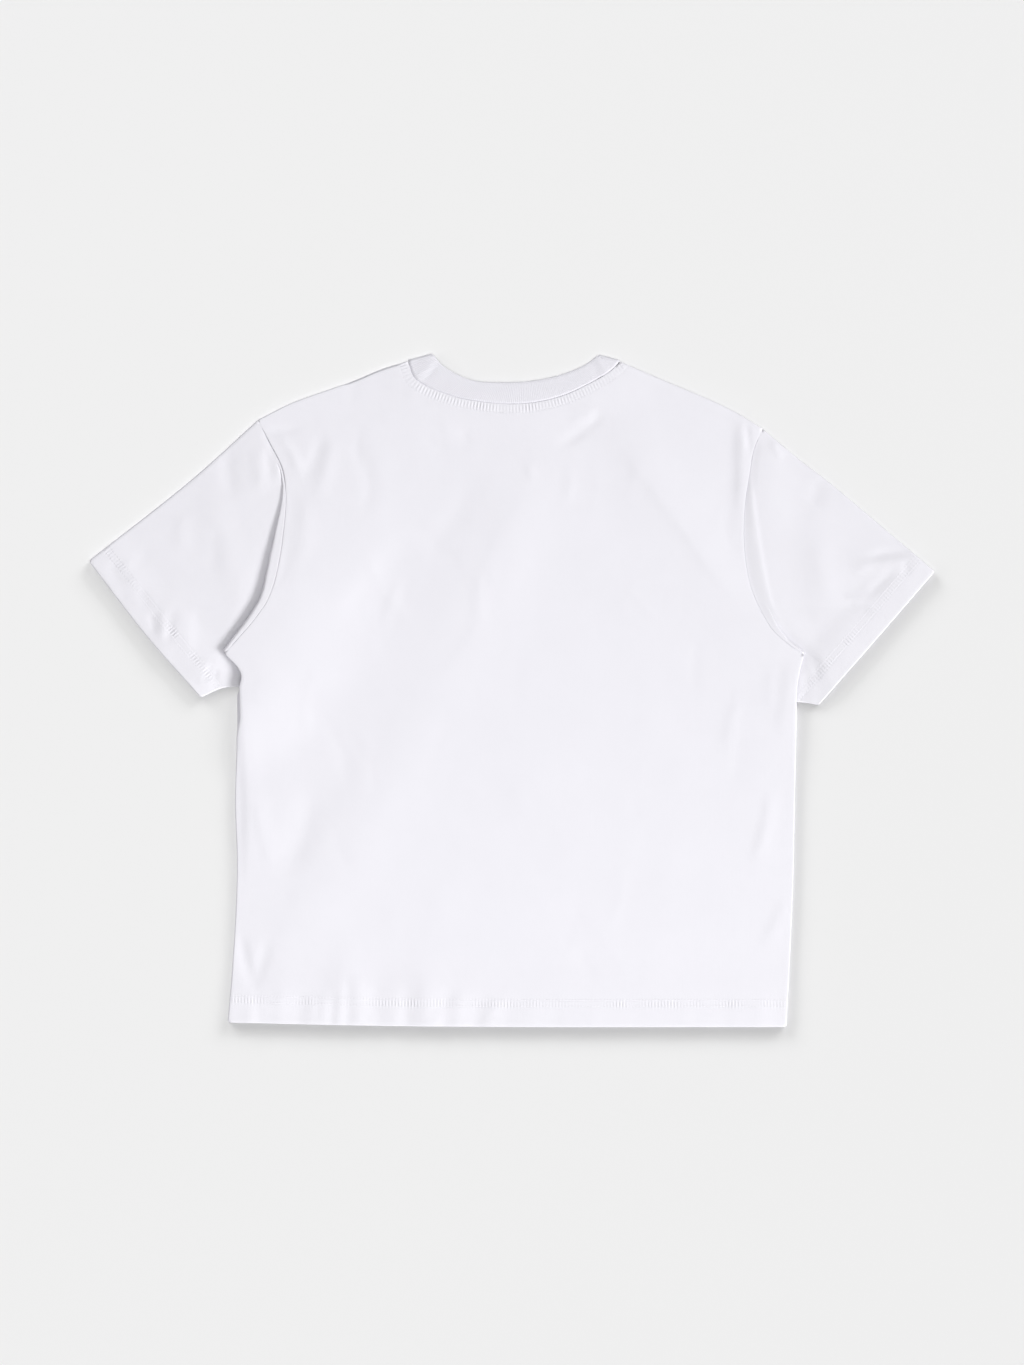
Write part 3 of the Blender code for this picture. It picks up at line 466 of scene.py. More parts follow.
class Lay:
    """How the plies of the shirt lie on each other, worked out from its sizes."""

    def __init__(self, sizes):
        self.sizes = sizes
        self.cloth = sizes.cloth
        self.gap = sizes.seam_gap
        self.ply = sizes.cloth + sizes.seam_gap
        self.floor = sizes.cloth / 2
        self.turned = self.floor + 3 * self.ply + STACK_AIR
        self.fold_inset = EDGE_RADIUS + self.cloth / 2
        self.hem_inset = (self.ply + self.cloth) / 2
        self.lip_inset = (self.cloth / 2 + LIP_RADIUS) * LIP_TURNS[-1][1]
        self.band_wall = (RIB_WALL - STACK_AIR) / 2 - sizes.rib_depth
        self.needles = (-sizes.needle_gap / 2, sizes.needle_gap / 2)

    def seam_inset(self, lip):
        """How far from a seam the sheet ends, where the cloth rolls into it by this much."""
        return (SEAM_OPENING / 2 + lip * self.lip_inset)[:, None]


def smoothstep(low, high, value):
    """0 below low, 1 above high, and a smooth rise between them."""
    share = np.clip((np.asarray(value, float) - low) / (high - low), 0.0, 1.0)
    return share * share * (3 - 2 * share)


def nearness(reach, away):
    """1 up to the first distance of a reach, and 0 from the second."""
    return 1 - smoothstep(*reach, away)


def unit(vectors):
    """The vectors, made 1 long."""
    return vectors / np.linalg.norm(vectors, axis=-1, keepdims=True)


def curve_through(points, chords=FINE):
    """A smooth curve through the points, as many short chords."""
    knots = np.array(points, float)
    t = np.linspace(0, 1, chords + 1)[1:, None]
    if len(knots) == 2:
        return np.vstack([knots[:1], knots[0] + t * (knots[1] - knots[0])])
    padded = np.vstack([2 * knots[0] - knots[1], knots, 2 * knots[-1] - knots[-2]])
    spans = np.sqrt(np.linalg.norm(np.diff(padded, axis=0), axis=1))[:, None]
    slopes = np.diff(padded, axis=0) / spans
    tangents = (spans[1:] * slopes[:-1] + spans[:-1] * slopes[1:]) / (spans[:-1] + spans[1:])
    blend = np.hstack([2 * t**3 - 3 * t**2 + 1, t**3 - 2 * t**2 + t, 3 * t**2 - 2 * t**3, t**3 - t**2])
    curve = [knots[:1]]
    for i, span in enumerate(spans[1:-1]):
        curve.append(blend @ (knots[i], span * tangents[i], knots[i + 1], span * tangents[i + 1]))
    return np.vstack(curve)


def run_along(points):
    """The length of a line, or of each column of a grid, up to each of its points."""
    steps = np.linalg.norm(np.diff(points, axis=0), axis=-1)
    return np.concatenate([np.zeros_like(steps[:1]), np.cumsum(steps, axis=0)])


def lengths_along(points):
    """The length of a line up to each of its points, as a share of the whole."""
    run = run_along(points)
    return run / run[-1]


def resample(points, shares, run=None):
    """Points at these shares of a line's length, or at these places of a run that its points have."""
    run = lengths_along(points) if run is None else run
    return np.column_stack([np.interp(shares, run, column) for column in points.T])


def sampled(points, count):
    """count + 1 points at equal steps of a smooth curve through the points."""
    return resample(curve_through(points), np.linspace(0, 1, count + 1))


def normals_towards(line, way):
    """Unit normals of a plan line, on the side that faces a direction."""
    along = unit(np.gradient(line, axis=0))
    normals = np.column_stack([along[:, 1], -along[:, 0]])
    return normals * np.sign(normals @ way)[:, None]


def bent(line, shares):
    """How far each point of a line is from the straight line between its ends, at these shares of it."""
    return line - ((1 - shares) * line[0] + shares * line[-1])


def patch(bottom, top, left, right, across):
    """A grid of plan points between four lines that share their corners: rows from bottom to top."""
    up = (lengths_along(left) + lengths_along(right))[:, None] / 2
    across = across[:, None]
    rise = up[:, None]
    ends = (1 - rise) * bottom[0] + rise * top[0]
    other_ends = (1 - rise) * bottom[-1] + rise * top[-1]
    plan = (1 - across) * ends + across * other_ends
    plan += (1 - rise) * bent(bottom, across) + rise * bent(top, across)
    plan += (1 - across) ** EDGE_GRIP * bent(left, up)[:, None]
    return plan + across**EDGE_GRIP * bent(right, up)[:, None]


def distance_to_line(plan, line):
    """How far plan points are from a line, what share of its length is nearest, and if they lie left."""
    run = lengths_along(line)
    best = np.full(plan.shape[:-1], np.inf)
    nearest = np.zeros(plan.shape[:-1])
    left = np.zeros(plan.shape[:-1], bool)
    for i in range(len(line) - 1):
        chord = line[i + 1] - line[i]
        away = plan - line[i]
        share = np.clip((away @ chord) / (chord @ chord), 0, 1)
        gap = np.linalg.norm(away - share[..., None] * chord, axis=-1)
        closer = gap < best
        best = np.where(closer, gap, best)
        nearest = np.where(closer, run[i] + share * (run[i + 1] - run[i]), nearest)
        left = np.where(closer, chord[0] * away[..., 1] > chord[1] * away[..., 0], left)
    return best, nearest, left


def distance_to(plan, points):
    """How far plan points are from the smooth curve through the points."""
    return distance_to_line(plan, curve_through(points, COARSE))[0]


def fold_heights(plan, folds):
    """What a table of folds adds to the height of the cloth at plan points."""
    total = np.zeros(plan.shape[:-1])
    for fold in folds:
        start, end, (bow, half_width, height) = fold[:2], fold[2:4], fold[4:]
        length = np.linalg.norm(end - start)
        along = (end - start) / length
        share = (plan - start) @ along / length
        inside = np.clip(share, 0, 1)
        arch = np.sin(math.pi * inside)
        aside = (plan - start) @ (along[1], -along[0]) - bow * arch
        beyond = (share - inside) * length
        reach = np.sqrt(aside**2 + beyond**2) / half_width
        total += height * np.exp(-(reach**2)) * (FOLD_END + (1 - FOLD_END) * arch)
    return total


def crease_heights(plan, creases):
    """What a table of creases adds to the height of the cloth at plan points."""
    total = np.zeros(plan.shape[:-1])
    for path, left_width, right_width, height in creases:
        line = curve_through(path, CREASED)
        reach = CREASE_REACH * max(left_width, right_width)
        near = np.all((plan > line.min(axis=0) - reach) & (plan < line.max(axis=0) + reach), axis=-1)
        if near.any():
            away, along, left = distance_to_line(plan[near], line)
            width = np.where(left, left_width, right_width)
            swell = smoothstep(0, CREASE_FADE, along) * smoothstep(0, CREASE_FADE, 1 - along)
            total[near] += height * swell * np.exp(-((away / width) ** 2))
    return total


def hem_puckers():
    """The puckers of the hem as creases, which run up from just below its edge."""
    rows = []
    for x, lean, reach, half_width, height in HEM_PUCKERS:
        low = HEM_LINE[1][1] - reach * CREASE_FADE
        path = ((x, low), (x + lean / 2, low + reach * 0.7), (x + lean, low + reach * 1.4))
        rows.append((path, half_width, half_width, height))
    return rows


def soft_creases(low, high, grain):
    """Small creases scattered over a rectangle, most of them near the direction of the grain."""
    draw = np.random.default_rng(SOFT_CREASE_SEED)
    area = (high[0] - low[0]) * (high[1] - low[1])
    rows = []
    for _ in range(int(SOFT_CREASES_PER_M2 * area)):
        middle = np.array([draw.uniform(low[0], high[0]), draw.uniform(low[1], high[1])])
        turn = math.radians(draw.normal(0, SOFT_CREASE_TURN))
        way = math.cos(turn) * grain + math.sin(turn) * np.array([-grain[1], grain[0]])
        half = draw.uniform(*SOFT_CREASE_LENGTH) / 2
        bow = draw.normal(0, SOFT_CREASE_BOW) * half * np.array([-way[1], way[0]])
        path = (middle - half * way, middle + bow, middle + half * way)
        left_width, right_width = draw.uniform(*SOFT_CREASE_WIDTH, size=2)
        rows.append((path, left_width, right_width, SOFT_CREASE_HEIGHT * draw.normal(0, 1)))
    return rows


def pleat_lift(plan, side):
    """How far the pleat and the tucked sleeve lift the body, from 0 to 1."""
    away, along, _ = distance_to_line(plan, curve_through(side.armhole[::-1], COARSE))
    beside_armhole = smoothstep(*side.lifted_from, along) * nearness(PLEAT_REACH, away)
    return np.maximum(beside_armhole, nearness(OVERHANG_REACH, distance_to(plan, side.overhang)))


def body_form(plan, lay):
    """The middle of the back panel above the surface, with its largest folds alone."""
    neck = nearness(NECK_REACH, distance_to(plan, NECK_SEAM))
    form = BODY_LOFT + (lay.turned - BODY_LOFT) * (nearness(HEM_RISE, plan[..., 1]) + neck)
    waves = fold_heights(plan, BODY_FOLDS) * (1 - STILL_AT_NECK * neck)
    for side in (LEFT, RIGHT):
        lift = pleat_lift(plan, side)
        form += (side.pleat_loft - form) * lift
        waves *= 1 - STILL_OVER_PLEAT * lift
    return form + waves


def body_height(plan, lay):
    """The middle of the back panel above the surface."""
    creases = BODY_CREASES + hem_puckers() + soft_creases(*BODY_BOX, UPWARDS)
    return body_form(plan, lay) + lay.sizes.creases * crease_heights(plan, creases)


def floor_height(plan, lay):
    """The cloth that lies on the surface, lifted off it only by its creases."""
    return lay.floor + lay.sizes.creases * np.maximum(crease_heights(plan, HIDDEN_CREASES), 0)


def sleeve_form(plan, side, lay):
    """The middle of a sleeve's upper ply, away from its armhole, with its largest folds alone."""
    reach = [lay.sizes.cuff_hem + rise for rise in CUFF_RISE]
    cuff = nearness(reach, distance_to(plan, side.cuff))
    return SLEEVE_LOFT + (lay.turned - SLEEVE_LOFT) * cuff + fold_heights(plan, side.folds)


def sleeve_grain(side):
    """The direction of a sleeve's grain: along its folded top."""
    return unit(side.sleeve_top[-1] - side.sleeve_top[0])


# A grid is an array of rows of points, each with its place (x, y, z) and its place in the cloth (u, v).


def laid(plan, height):
    """Plan points laid at a height, which are their own places in the cloth."""
    height = np.broadcast_to(height, plan.shape[:-1])[..., None]
    return np.concatenate([plan, height, plan], axis=-1)


def strip(edge, outward, steps):
    """Rows that leave an edge. Each step says how far out and how far up its row lies."""
    rows, run, before = [edge], 0.0, np.zeros((2, len(edge)))
    for step in steps:
        here = np.array([np.broadcast_to(value, len(edge)) for value in step])
        run = run + np.hypot(*(here - before))
        row = edge.copy()
        row[:, :2] += here[0][:, None] * outward
        row[:, 2] += here[1]
        row[:, 3:] += run[:, None] * outward
        rows.append(row)
        before = here
    return np.array(rows)


def seam_lip(edge, outward, up, reach):
    """Rows that roll the cloth over into a seam."""
    radius = LIP_RADIUS * reach
    return strip(edge, outward, [(radius * out, up * radius * rise) for _, out, rise in LIP_TURNS])


def folded_edge(edge, outward, end_height, reach=1.0):
    """Rows that run out from an edge, turn through half a circle and come back in as a seam allowance."""
    fall = end_height - edge[:, 2]
    radius = np.minimum(np.abs(fall) / 2, EDGE_RADIUS) * reach
    run = EDGE_RADIUS * reach - radius
    fall = fall * reach
    steps = [(run + radius * out, fall * rise / 2) for _, out, rise in EDGE_TURNS]
    return strip(edge, outward, steps + [(run - SEAM_ALLOWANCE * reach, fall)])


def along_columns(grid, depths):
    """The points that lie these lengths up each column of a grid."""
    columns = [resample(column, depths, run_along(column[:, :3])) for column in np.swapaxes(grid, 0, 1)]
    return np.stack(columns, axis=1)


def turned_hem(grid, outward, depth, up, lay):
    """Rows that turn a hem in at a grid's first row: round the edge, and back along the cloth's inside."""
    radius = lay.ply / 2
    rows = strip(grid[0], outward, [(radius * out, up * radius * rise) for _, out, rise in HEM_TURNS])
    depths = np.linspace(0, depth, HEM_ROWS + 1)[1:]
    inside = along_columns(grid, depths)
    inside[..., 2] += up * lay.ply
    inside[..., 3:] = grid[0, :, 3:] + (math.pi * radius + depths)[:, None, None] * outward
    return np.concatenate([rows, inside])


def fold_between(upper, lower, outward, radius):
    """Rows that join the edges of an upper and a lower ply round a fold."""
    rows = [upper]
    for angle, out, rise in TUBE_TURNS:
        row = upper + rise / 2 * (lower - upper)
        row[:, :2] += radius * out * outward
        run = angle / 2 * (upper[:, 2] - lower[:, 2])
        row[:, 3:] = upper[:, 3:] + run[:, None] * outward
        rows.append(row)
    return np.array(rows + [lower])


def drawn_to(line, start, reach=EDGE_BLEND):
    """A line drawn to start at a point, with less and less of the change over a share of its length."""
    return line + nearness((0, reach), lengths_along(line))[:, None] * (start - line[0])


def drawn_between(line, start, end, reach=EDGE_BLEND):
    """A line drawn to start and end at two points."""
    return drawn_to(drawn_to(line, start, reach)[::-1], end, reach)[::-1]


def softened(rows, passes=4):
    """Directions along a line, each averaged with its neighbours."""
    for _ in range(passes):
        rows[1:-1] = (rows[:-2] + 2 * rows[1:-1] + rows[2:]) / 4
    return unit(rows)


def shoulder_outward(side):
    """The way out of the shirt at the shoulder point, shared by the body and the sleeve."""
    lines = (curve_through(side.shoulder), curve_through(side.sleeve_top))
    return unit(sum(normals_towards(line, UPWARDS)[0] for line in lines))


def armhole_line(side, back, count, lay):
    """An armhole seam from the armpit to the shoulder point, where it ends inside the folded edge."""
    curve = curve_through(side.armhole if back else side.front_armhole)
    line = resample(curve, np.linspace(0, 1 - lay.fold_inset / run_along(curve)[-1], count + 1))
    start = line[0] - back * lay.cloth * side.out
    return drawn_between(line, start, curve[-1] - lay.fold_inset * shoulder_outward(side), SEAM_BLEND)


def slipped(line, outward, slip, panel):
    """An edge of a panel that shows, where it has slipped inwards along a stretch of its length."""
    start, end, depth = slip
    share = lengths_along(line)
    there = smoothstep(start, start + SLIP_SPREAD, share) * nearness((end - SLIP_SPREAD, end), share)
    return line - panel.shown * depth * there[:, None] * outward


def shoulder_line(side, columns, lay):
    """The line where the shoulder starts to turn, from the shoulder point to the neck, and its way out."""
    line = sampled(side.shoulder, columns)
    outward = normals_towards(line, UPWARDS)
    outward[0] = shoulder_outward(side)
    return line - lay.fold_inset * outward, outward


def neck_points(lay):
    """Where the neck seam meets the left and the right shoulder, and the way out of the shoulder there."""
    for side in (LEFT, RIGHT):
        line, outward = shoulder_line(side, COARSE, lay)
        yield line[-1], outward[-1]


def back_neck_line(count, lay):
    """The back neck seam, from the left shoulder to the right."""
    ends = [point for point, _ in neck_points(lay)]
    return drawn_between(sampled(NECK_SEAM, count), *ends, SEAM_BLEND)


def front_neck_line(count, lay):
    """The front neck seam: a round scoop that hangs from the two neck points."""
    left, right = (point for point, _ in neck_points(lay))
    share = np.linspace(-1, 1, count + 1)
    drop = FRONT_NECK_DROP * (1 - share**2) ** SCOOP_POWER
    return (left + right) / 2 + share[:, None] * (right - left) / 2 + drop[:, None] * DOWNWARDS


def seam_reach(line):
    """1 along a seam, and 0 at its two ends, where the roll into it dies away."""
    run = run_along(line)
    return smoothstep(0, LIP_TAPER, np.minimum(run, run[-1] - run))


def hem_edge(x):
    """The edge of the body's hem at x."""
    return np.interp(x, *curve_through(HEM_LINE).T)


class PanelSide:
    """One side of a body panel: its folded edge to the armpit, and its armhole up to the shoulder."""

    def __init__(self, side, panel, lay):
        self.panel, self.lay = panel, lay
        shares = 1 - (1 - np.linspace(0, 1, panel.side + 1)) ** SIDE_CLOSENESS
        edge = resample(curve_through(side.side_edge), shares)
        edge = np.vstack([edge, sampled(side.overhang, panel.overhang)[1:]])
        self.edge_out = softened(normals_towards(edge, side.out))
        inner = slipped(edge, self.edge_out, side.side_slip, panel) - lay.fold_inset * self.edge_out
        armhole = armhole_line(side, panel.shown, panel.armhole, lay)
        self.armhole_out = normals_towards(armhole, side.out)
        self.lip = seam_reach(armhole) * panel.shown
        armhole = armhole - lay.seam_inset(self.lip) * self.armhole_out
        inner = drawn_to(inner[::-1], armhole[0], ARMPIT_BLEND)[::-1]
        self.armpit = len(inner) - 1
        self.line = np.vstack([inner, armhole[1:]])
        shoulder, self.shoulder_out = shoulder_line(side, panel.shoulder, lay)
        self.shoulder = slipped(shoulder, self.shoulder_out, side.shoulder_slip, panel)

    def grids(self, sheet):
        """Its folded edge, its armhole's roll and its shoulder, beside a sheet whose columns start here."""
        seam_height = SIDE_SEAM_Z - self.panel.up * self.lay.ply / 2
        rows = np.arange(self.armpit + 1) - self.panel.side
        over_sleeve = smoothstep(-OVERHANG_ROWS, 0, rows) * (self.panel.overhang > 0)
        height = seam_height + (OVERHANG_Z - seam_height) * over_sleeve
        reach = 1 - OVERHANG_THIN * smoothstep(-THIN_ROWS, 0, rows)
        reach[-1] = 0.0
        return [
            folded_edge(sheet[: self.armpit + 1, 0], self.edge_out, height, reach),
            seam_lip(sheet[self.armpit :, 0], self.armhole_out, self.panel.up, self.lip),
            folded_edge(sheet[-1, : len(self.shoulder)], self.shoulder_out, seam_height),
        ]


def body_panel(panel, neck, height_of, lay):
    """A body panel: its sheet, its folded sides and shoulders, its rolled seams and its hem."""
    left, right = (PanelSide(side, panel, lay) for side in (LEFT, RIGHT))
    neck_out = normals_towards(neck, DOWNWARDS)
    neck_lip = seam_reach(neck) * panel.shown * np.linspace(*NECK_ROLL, len(neck))
    neck = neck.copy()
    neck[1:-1] += (lay.seam_inset(neck_lip) * neck_out)[1:-1]
    top = np.vstack([left.shoulder[:-1], neck, right.shoulder[::-1][1:]])
    top[0], top[-1] = left.line[-1], right.line[-1]
    across = ((top[:, 0] - top[0, 0]) / (top[-1, 0] - top[0, 0]) + lengths_along(top)) / 2
    hem_x = left.line[0, 0] + across * (right.line[0, 0] - left.line[0, 0])
    hem = np.column_stack([hem_x, hem_edge(hem_x) + lay.hem_inset])
    left.line[0], right.line[0] = hem[0], hem[-1]
    plan = patch(hem, top, left.line, right.line, across)
    sheet = laid(plan, height_of(plan, lay))
    first = len(left.shoulder) - 1
    return [
        sheet,
        *left.grids(sheet),
        *right.grids(sheet[:, ::-1]),
        seam_lip(sheet[-1, first : first + len(neck)], -neck_out, panel.up, neck_lip),
        turned_hem(sheet, DOWNWARDS, lay.sizes.body_hem, panel.up, lay),
    ]


def turned_path(radius, run, turned):
    """How far inwards and upwards each point of a fold lies from where the cloth starts to turn.

    The cloth turns up through an angle on an arc, runs straight, and turns back on an equal arc.
    """
    bends = np.linspace(0, 1, PLEAT_TURNS)[:, None] * turned
    first = radius * np.array([np.sin(bends), 1 - np.cos(bends)])
    whole = 2 * first[:, -1] + run * np.array([np.cos(turned), np.sin(turned)])
    return np.concatenate([first, whole[:, None] - first[:, ::-1]], axis=1)


def pleat_rows(side, seam, seam_out, seam_height):
    """Rows from where the sleeve turns back under the body, round the pleat's fold, and in to the seam.

    At 180 degrees the cloth lies in a full pleat of four plies, and at 0 it lies open.
    """
    along = lengths_along(seam)
    places, *columns = np.transpose(side.pleat)
    width, depth, angle = (np.interp(along, places, column) for column in columns)
    width, depth, turned = width / MM, depth / MM, np.radians(angle)
    tuck = TUCK_LOFT + side.tuck_rise * nearness(TUCK_SINKS, along)
    rise = smoothstep(0, 180, angle) * (seam_height - tuck)
    radius = rise / 4
    pleated = angle == 180
    run = np.where(pleated, depth, 0.0)
    slanted = (angle > 0) & ~pleated
    run[slanted] = rise[slanted] / 2 / np.tan(turned[slanted] / 2)

    inward, upward = turned_path(radius, run, turned)
    shown = width - np.where(pleated, radius, 0.0)
    shaped = smoothstep(0, OPEN_ANGLE, angle)
    share = np.arange(len(inward))[:, None] / (len(inward) + STRIP_ROWS)
    open_reach = width * (1 - share)
    reach = open_reach + shaped * (shown + inward[-1] - inward - open_reach)
    height = seam_height - rise + shaped * upward + (1 - shaped) * share * rise
    rows = laid(seam + reach[..., None] * seam_out, height)
    share = np.linspace(0, 1, STRIP_ROWS + 1)[1:, None, None]
    rows = np.concatenate([rows, (1 - share) * rows[-1] + share * laid(seam, seam_height)])
    run = run_along(rows[..., :3])
    rows[..., 3:] = rows[-1, :, 3:] + (run[-1] - run)[..., None] * seam_out
    return rows


def sleeve_edges(side, columns, lay):
    """The folded top of a sleeve, its underarm fold and its cuff, each with the way out along it."""
    cuff = sampled(side.cuff, columns)
    cuff_out = normals_towards(cuff, side.out)
    top, under = sampled(side.sleeve_top, SLEEVE_ROWS), sampled(side.underarm, SLEEVE_ROWS)
    top_out, under_out = normals_towards(top, UPWARDS), normals_towards(under, DOWNWARDS)
    top_out[0] = shoulder_outward(side)
    for line, outward, end in ((top, top_out, 0), (under, under_out, -1)):
        line -= lay.fold_inset * outward
        line[:] = drawn_to(line[::-1], line[-1] - lay.hem_inset * cuff_out[end])[::-1]
    cuff = drawn_between(cuff - lay.hem_inset * cuff_out, top[-1], under[-1])
    return (top, top_out), (under, under_out), (cuff, cuff_out)


def sleeve_ply(start, top, under, cuff):
    """Plan points of one ply of a sleeve, from its start at the armhole to its cuff."""
    across = (lengths_along(start) + lengths_along(cuff)) / 2
    return patch(start, cuff, drawn_to(top, start[0]), drawn_to(under, start[-1]), across)


def crease_sleeve(grids, side, shoulder_point, lay):
    """Adds the creases of a sleeve to its upper grids, and the dip of its cloth towards the seam."""
    outline = np.vstack([side.sleeve_top, side.cuff, side.armhole])
    creases = side.creases + soft_creases(outline.min(axis=0), outline.max(axis=0), sleeve_grain(side))
    depth, reach, end = side.seam_dip
    for grid in grids:
        plan = grid[..., :2]
        away = distance_to(plan, side.armhole)
        heights = crease_heights(plan, creases) * smoothstep(0, CREASES_START, away)
        from_shoulder = np.linalg.norm(plan - shoulder_point, axis=-1)
        dip = smoothstep(*DIP_GROWS, from_shoulder) * nearness((end - DIP_ENDS, end), from_shoulder)
        grid[..., 2] += lay.sizes.creases * (heights - depth * dip * np.exp(-((away / reach) ** 2)))


def sleeve_grids(side, lay):
    """A sleeve: a tube, folded along its top, that lies half beside the body and half under it."""
    back_seam = armhole_line(side, 1, SLEEVE_COLUMNS, lay)[::-1]
    seam_out = normals_towards(back_seam, side.out)
    lip = seam_reach(back_seam)
    rolled_seam = back_seam + lay.seam_inset(lip) * seam_out
    pleat = pleat_rows(side, rolled_seam, seam_out, body_height(back_seam, lay))

    front_seam = armhole_line(side, 0, SLEEVE_COLUMNS + TUCK_COLUMNS, lay)[::-1]
    opened = smoothstep(UNDERARM_OPENS, 1.0, lengths_along(front_seam))
    clearance = lay.gap / 2 + opened * (UNDERARM_CLEARANCE - lay.gap / 2)
    front_seam = front_seam + clearance[:, None] * normals_towards(front_seam, side.out)

    turn = pleat[0]
    tuck = curve_through((turn[-1, :2], front_seam[-1]), TUCK_COLUMNS)[1:]
    start = np.vstack([turn[:, :2], tuck])
    sinking = np.linspace(turn[-1, 2], TUCK_LOFT, TUCK_COLUMNS + 1)[1:]
    start_height = np.concatenate([turn[:, 2], sinking])

    (top, top_out), (under, under_out), (cuff, cuff_out) = sleeve_edges(side, len(start) - 1, lay)
    upper, lower = (sleeve_ply(line, top, under, cuff) for line in (start, front_seam))
    lower = laid(lower, floor_height(lower, lay))
    settled = smoothstep(*TUCK_REACH, np.linalg.norm(upper - upper[:1], axis=-1))
    upper = laid(upper, start_height + settled * (sleeve_form(upper, side, lay) - start_height))
    crease_sleeve((upper, pleat), side, back_seam[0], lay)
    return [
        upper,
        lower,
        pleat,
        seam_lip(pleat[-1], -seam_out, -1, lip),
        fold_between(upper[:, 0], lower[:, 0], top_out, EDGE_RADIUS),
        fold_between(upper[:, -1], lower[:, -1], under_out, EDGE_RADIUS),
        turned_hem(upper[::-1], cuff_out, lay.sizes.cuff_hem, -1, lay),
        turned_hem(lower[::-1], cuff_out, lay.sizes.cuff_hem, 1, lay),
    ]


def grid_normals(grid):
    """Unit normals of a grid's points, pointing up where the grid lies flat with its rows to the left."""
    along, across = np.gradient(grid[..., :3], axis=(0, 1))
    return unit(np.cross(across, along))


def band_ring(lay):
    """The middle of the neck band, all round: rows from seam to free edge, columns round the neck."""
    back_seam, front_seam = back_neck_line(BAND_COLUMNS, lay), front_neck_line(BAND_COLUMNS, lay)
    front_down = normals_towards(front_seam, DOWNWARDS)
    back_seam = back_seam - SEAM_OPENING / 2 * normals_towards(back_seam, DOWNWARDS)
    front_seam = front_seam - lay.gap / 2 * front_down
    front_edge = front_seam - lay.sizes.neck_band * front_down
    back_edge = sampled(NECK_EDGE, BAND_COLUMNS)
    outward = []
    for side, column, (neck_point, shoulder_out) in zip((LEFT, RIGHT), (0, -1), neck_points(lay)):
        inward = unit(-side.out + (side.out @ shoulder_out) * shoulder_out)
        back_seam[column] = front_seam[column] = neck_point + 2 * lay.gap * inward
        ends = np.array([back_seam[column], back_edge[column]])
        outward.append(normals_towards(ends, UPWARDS)[0])
        edge_end = back_edge[column] - (RIB_FOLD_RADIUS + RIB_WALL / 2) * outward[-1]
        back_edge[column] = front_edge[column] = edge_end
    share = np.linspace(0, 1, BAND_ROWS + 1)[:, None, None]
    back = back_seam + share * (back_edge - back_seam)
    level = body_form(back, lay) - (RIB_WALL - lay.cloth) / 2 - RIB_SINK
    back = laid(back, level + lay.sizes.creases * crease_heights(back, BAND_CREASES))
    front = laid(front_seam + share * (front_edge - front_seam), RIB_WALL / 2)
    left, right = (
        np.swapaxes(fold_between(back[:, column], front[:, column], way, RIB_FOLD_RADIUS), 0, 1)
        for column, way in zip((0, -1), outward)
    )
    return np.concatenate([back, right[:, 1:-1], front[:, ::-1], left[:, ::-1][:, 1:]], axis=1)


def band_grids(lay):
    """The neck band: a ribbed strip, doubled over at its free edge and closed into a ring."""
    ring = band_ring(lay)
    length = run_along(ring[BAND_ROWS // 2, :, :3])
    ribs = round(length[-1] / lay.sizes.rib_pitch)
    shares = np.linspace(0, 1, COLUMNS_PER_RIB * ribs + 1)
    fine = np.array([resample(row, shares, length / length[-1]) for row in ring])
    normals = grid_normals(fine)
    normals[:, 0] = normals[:, -1] = (normals[:, 0] + normals[:, -1]) / 2
    towards_edge = unit(fine[-1, :, :3] - fine[-2, :, :3])
    ridge = lay.sizes.rib_depth * np.cos(2 * math.pi * ribs * shares)
    half = (lay.band_wall + STACK_AIR) / 2
    run = run_along(fine[:, 0, :3])
    # For each row of the strip: the ring's row that it follows, how far it lies above that and beyond its
    # edge, in halves of the two plies, and its place in the flat strip.
    over = [(k, 1.0, 0.0, run[k]) for k in range(BAND_ROWS + 1)]
    round_edge = [(BAND_ROWS, 1 - fall, out, run[-1] + half * angle) for angle, out, fall in BAND_TURNS]
    under = [(k, -1.0, 0.0, 2 * run[-1] + math.pi * half - place) for k, _, _, place in reversed(over)]
    rows = []
    for k, above, beyond, place in over + round_edge + under:
        row = fine[k].copy()
        row[:, :3] += (above * half + ridge)[:, None] * normals[k] + beyond * half * towards_edge
        row[:, 3] = shares * length[-1]
        row[:, 4] = place
        rows.append(row)
    return [np.array(rows)]


# Making the pieces.


def collection(name):
    """The collection of this name, made and linked if it isn't there."""
    found = bpy.data.collections.get(name)
    if found is None:
        found = bpy.data.collections.new(name)
        bpy.context.scene.collection.children.link(found)
    return found


def placed(name, data, material, group="shirt"):
    """The object of a mesh, in the collection by which the lamps find it."""
    data.materials.append(material)
    obj = bpy.data.objects.new(name, data)
    collection(group).objects.link(obj)
    return obj


